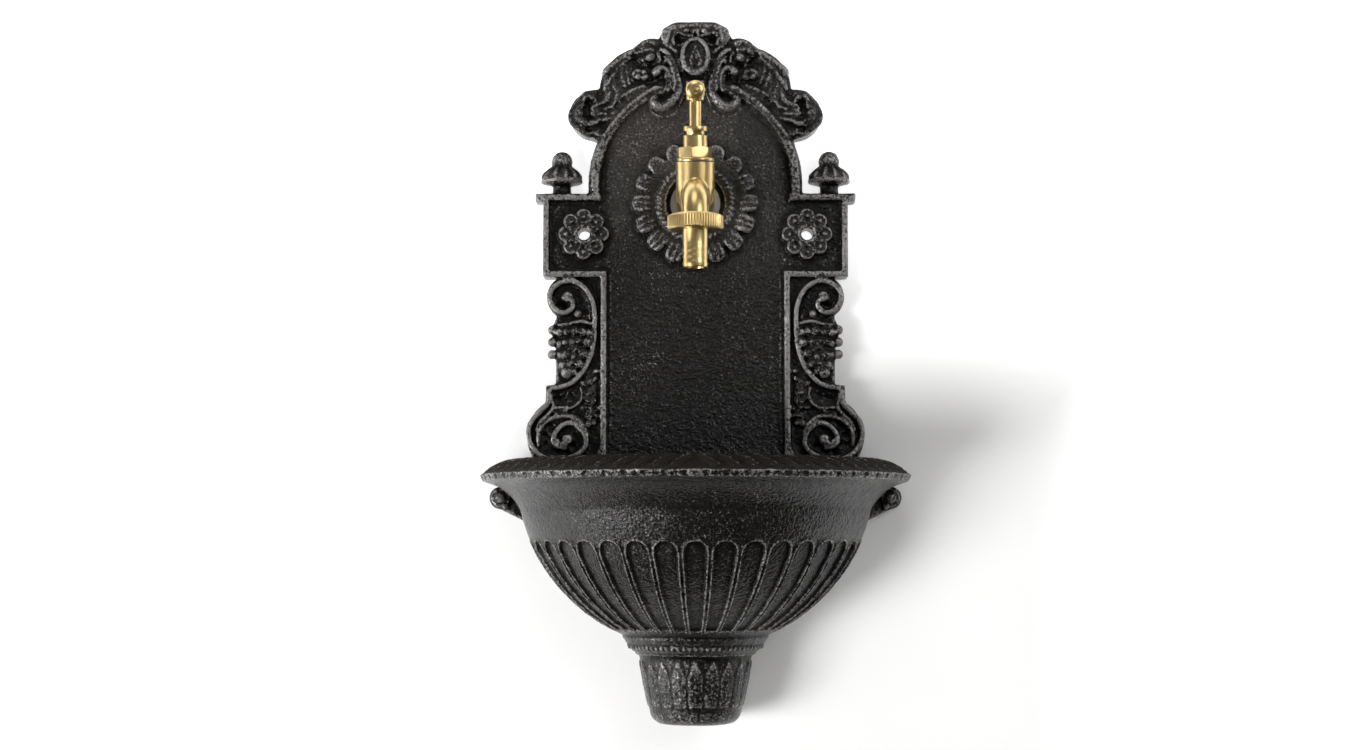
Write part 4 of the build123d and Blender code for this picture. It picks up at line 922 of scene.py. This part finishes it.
# %% Metals and rubber
def turned_finish(name, bright, stained, metallic, smooth, stained_rough, bump_strength):
    """A turned or pressed finish with stains and fine rings."""
    material, tree, output = new_material(name)
    coordinates = add_node(tree, "ShaderNodeTexCoord")
    group = add_node(tree, "ShaderNodeGroup", {"Vector": coordinates.outputs["Object"]}, node_tree=lathe)
    colour = blend(tree, group.outputs["Stain"], bright, stained)
    rough = ramp(tree, group.outputs["Stain"], 0.0, 1.0, smooth, stained_rough)
    bump = add_node(tree, "ShaderNodeBump", {
        "Strength": bump_strength, "Distance": 0.0002, "Height": group.outputs["Height"]})
    shader = add_node(tree, "ShaderNodeBsdfPrincipled", {
        "Base Color": colour, "Roughness": rough, "Metallic": metallic, "Normal": bump.outputs["Normal"]})
    tree.links.new(shader.outputs[0], output.inputs["Surface"])
    return material


finishes = {
    "brass": turned_finish("turned_brass", (0.74, 0.56, 0.26), (0.66, 0.48, 0.2), 1.0, 0.31, 0.38, 0.04),
    "zinc_steel": turned_finish("dull_zinc", (0.42, 0.425, 0.43), (0.3, 0.31, 0.32), 1.0, 0.34, 0.5, 0.1),
    "seal_rubber": turned_finish("matt_rubber", (0.018, 0.018, 0.018), (0.03, 0.029, 0.028), 0.0, 0.6, 0.75,
                                 0.1),
}
finished = [part for part in frame["record"]["subparts"] if part["material_slot"] in finishes]
for part in finished:
    materials = nodes[part["node"]].data.materials
    materials.clear()
    materials.append(finishes[part["material_slot"]])
print("finished nodes:", len(finished))

# %% [markdown]
# ## Turning the tap
# Nearly every piece of the tap comes off a lathe, so each one is an outline spun round an axis with the screw
# modifier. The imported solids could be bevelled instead, but their triangles are too uneven for clean corners.
# Corners are broken with a small bevel, which is what catches the light on real brass. The valve stands on an
# axis that leans towards the viewer, and the union and the hose tail hang plumb from the spout. The body also
# has a swept spout and a round hood over it, as a cast tap does.

# %% Lathe tools
valve_frame = Matrix.Translation((0, -52 * mm, tap_level * mm)) @ Matrix.Rotation(math.radians(8), 4, "X")
spout_frame = Matrix.Translation((0, -74 * mm, 0))
towards_viewer = Matrix.Rotation(math.radians(90), 4, "X")


def outward(piece):
    """Turns all faces of a piece outwards."""
    return edited(piece, bpy.ops.mesh.normals_make_consistent, inside=False)


def spun(name, outline, where, steps=96):
    """Spins an outline of radius and height in millimetres; off the axis it is a closed ring."""
    count = len(outline)
    closed = outline[0][0] > 0
    lines = [(index, (index + 1) % count) for index in range(count if closed else count - 1)]
    mesh = bpy.data.meshes.new(name)
    mesh.from_pydata([(radius * mm, 0, height * mm) for radius, height in outline], lines, [])
    piece = placed(name, mesh)
    apply(piece, "SCREW", axis="Z", steps=steps, render_steps=steps, use_merge_vertices=True,
          merge_threshold=1e-6)
    piece.data.transform(where)
    return outward(piece)


def combine(piece, other, operation):
    """Joins, cuts or keeps what two solids share; the other one is used up."""
    apply(piece, "BOOLEAN", operation=operation, object=other, solver="EXACT")
    bpy.data.objects.remove(other)
    return piece


def polish(piece, node, body, width=0.25):
    """Breaks the corners, smooths the turned faces and hands the piece over as brass."""
    apply(piece, "BEVEL", width=width * mm, segments=2, limit_method="ANGLE", angle_limit=math.radians(28))
    outward(piece)
    bpy.ops.object.shade_smooth_by_angle(angle=math.radians(30))
    hand_over(piece, node, body, finishes["brass"])
    print(piece.name, len(piece.data.polygons), "faces")


print("lathe tools ready")

# %% Spindle, tee bar and gland
spindle = spun("turned_spindle", [(0, 62.2), (2.9, 62.2), (3.4, 61.7), (3.4, 19.9), (4.5, 19.9), (4.5, 1.1),
                                  (2.45, 1.1), (2.45, 9.1), (0, 9.1)], valve_frame)
polish(spindle, "spindle", "handle")
bar_level = 57.2
bar_frame = valve_frame @ Matrix.Translation((0, 0, bar_level * mm)) @ towards_viewer
bar = spun("turned_bar", [(0, -22.5), (4.3, -22.5), (5.3, -21.5), (5.3, -16.3), (4.6, -15.5), (3.3, -15.5),
                          (3.3, 15.5), (4.6, 15.5), (5.3, 16.3), (5.3, 20.4), (5.0, 21.1), (4.4, 21.6),
                          (3.6, 22.0), (2.6, 22.3), (2.0, 22.3), (1.8, 22.1), (1.2, 22.3), (0, 22.5)],
           bar_frame)
hub = spun("hub", [(0, 52.2), (4.5, 52.2), (5.0, 52.7), (5.0, 61.7), (4.5, 62.2), (0, 62.2)], valve_frame)
combine(bar, hub, "UNION")
combine(bar, spun("bore", [(0, 51), (3.42, 51), (3.42, 63), (0, 63)], valve_frame), "DIFFERENCE")
polish(bar, "t_bar", "handle", 0.15)
gland = spun("turned_gland", [(3.45, 28), (4.95, 28), (4.95, 32.9), (5.3, 33.1), (5.3, 35.2), (6.8, 35.2),
                              (6.8, 37.9), (4.6, 37.9), (3.45, 37.2)], valve_frame)
polish(gland, "gland_nut", "fountain")

# %% Bonnet with its hexagon
bonnet = spun("turned_bonnet", [(4.55, 9), (8.5, 9), (8.5, 18.4), (10.75, 18.4), (10.75, 19.7), (9.4, 20.6),
                                (6.9, 20.6), (6.9, 32.7), (5.0, 32.7), (5.0, 24.2), (4.55, 24.2)],
              valve_frame)
across_flats, hexagon_level, hexagon_turn = 17, 23.3, math.radians(-13.6)
bpy.ops.mesh.primitive_cylinder_add(vertices=6, radius=across_flats / math.sqrt(3) * mm, depth=6 * mm)
hexagon = bpy.context.active_object
hexagon.data.transform(valve_frame @ Matrix.Translation((0, 0, hexagon_level * mm))
                       @ Matrix.Rotation(hexagon_turn, 4, "Z"))
barrel = spun("barrel", [(0, 20.3), (8.9, 20.3), (9.8, 20.9), (9.8, 25.5), (8.7, 26.3), (0, 26.3)],
              valve_frame)
combine(hexagon, barrel, "INTERSECT")
combine(hexagon, spun("hole", [(0, 20), (6.7, 20), (6.7, 27), (0, 27)], valve_frame), "DIFFERENCE")
combine(bonnet, hexagon, "UNION")
polish(bonnet, "bonnet", "fountain", 0.2)

# %% Tap body with inlet and spout
def pipe(name, path, radius):
    """A round bar along a path in the middle plane, from places by depth and level."""
    curve = round_curve(name, radius * mm, 14)
    line = curve.splines.new("POLY")
    line.points.add(len(path) - 1)
    for point, (depth, level) in zip(line.points, path):
        point.co = (*on_panel(0, level, depth), 1)
    piece = alone(placed(name, curve))
    bpy.ops.object.convert(target="MESH")
    return outward(edited(piece, bpy.ops.mesh.remove_doubles, threshold=0.000001))


bend = [(60 + 14 * math.sin(turn), 4 + 14 * math.cos(turn)) for turn in np.radians(range(0, 91, 6))]
inlet_frame = Matrix.Translation((0, 0, tap_level * mm)) @ towards_viewer
body = spun("turned_body", [(0, -15), (6, -15), (7.5, -13.5), (11, 4), (11, 17.8), (0, 17.8)], valve_frame)
inlet = spun("inlet", [(0, 52), (11, 52), (11, 14), (10.48, 14), (10.48, 0), (9.3, 0), (9.3, -2), (10.48, -2),
                       (10.48, -16), (6.5, -16), (6.5, 16), (0, 16)], inlet_frame)
combine(body, inlet, "UNION")
combine(body, pipe("spout", [(52, 18)] + bend + [(74, -0.8)], 7), "UNION")
bpy.ops.mesh.primitive_uv_sphere_add(segments=64, ring_count=32, radius=mm)
hood = bpy.context.active_object
hood.data.transform(sized(on_panel(0, 17.0, 57.0), 8.4, 13.0, 9.4))
combine(body, hood, "UNION")
combine(body, spun("disc", [(0, 3), (12.5, 3), (13.1, 2.4), (13.1, -1.2), (0, -1.2)], spout_frame), "UNION")
room = spun("room", [(0, -13), (4.5, -13), (4.5, -4), (7.2, -4), (7.2, 9), (8.55, 9), (8.55, 18.6),
                     (0, 18.6)], valve_frame)
combine(body, room, "DIFFERENCE")
combine(body, pipe("waterway", [(60, 18)] + bend + [(74, -3)], 4.75), "DIFFERENCE")
polish(body, "tap_body", "fountain", 0.3)

# %% Union nut and hose tail
knurls, knurl_depth, nut_radius = 60, 0.5, 15.5
nut = spun("knurled_union", [(13.4, 2.4), (14.5, 2.4), (nut_radius, 1.5), (nut_radius, -4.9), (14.5, -5.8),
                             (7.35, -5.8), (7.35, -4.2), (13.4, -4.2)], Matrix.Identity(4), 8 * knurls)
for vertex in nut.data.vertices:
    if math.hypot(vertex.co.x, vertex.co.y) > (nut_radius - 0.1) * mm:
        wave = math.cos(knurls * math.atan2(vertex.co.y, vertex.co.x))
        vertex.co.xy *= 1 - knurl_depth / nut_radius * (0.5 - 0.5 * wave)
nut.data.transform(spout_frame)
polish(nut, "union_nut", "union", 0.08)
barbs = [(radius, -26.7 + 3.4 * row + rise) for row in (3, 2, 1, 0)
         for radius, rise in ((6.95, 3.2), (7.05, 2.8), (7.05, 2.2), (6.8, 0.3))]
tail = spun("turned_tail", [(4.75, -2.6), (12, -2.6), (12, -4.2), (7.05, -4.2), (7.05, -12.6)] + barbs
            + [(6.75, -26.7), (4.75, -26.7)], spout_frame)
polish(tail, "hose_tail", "tail", 0.12)
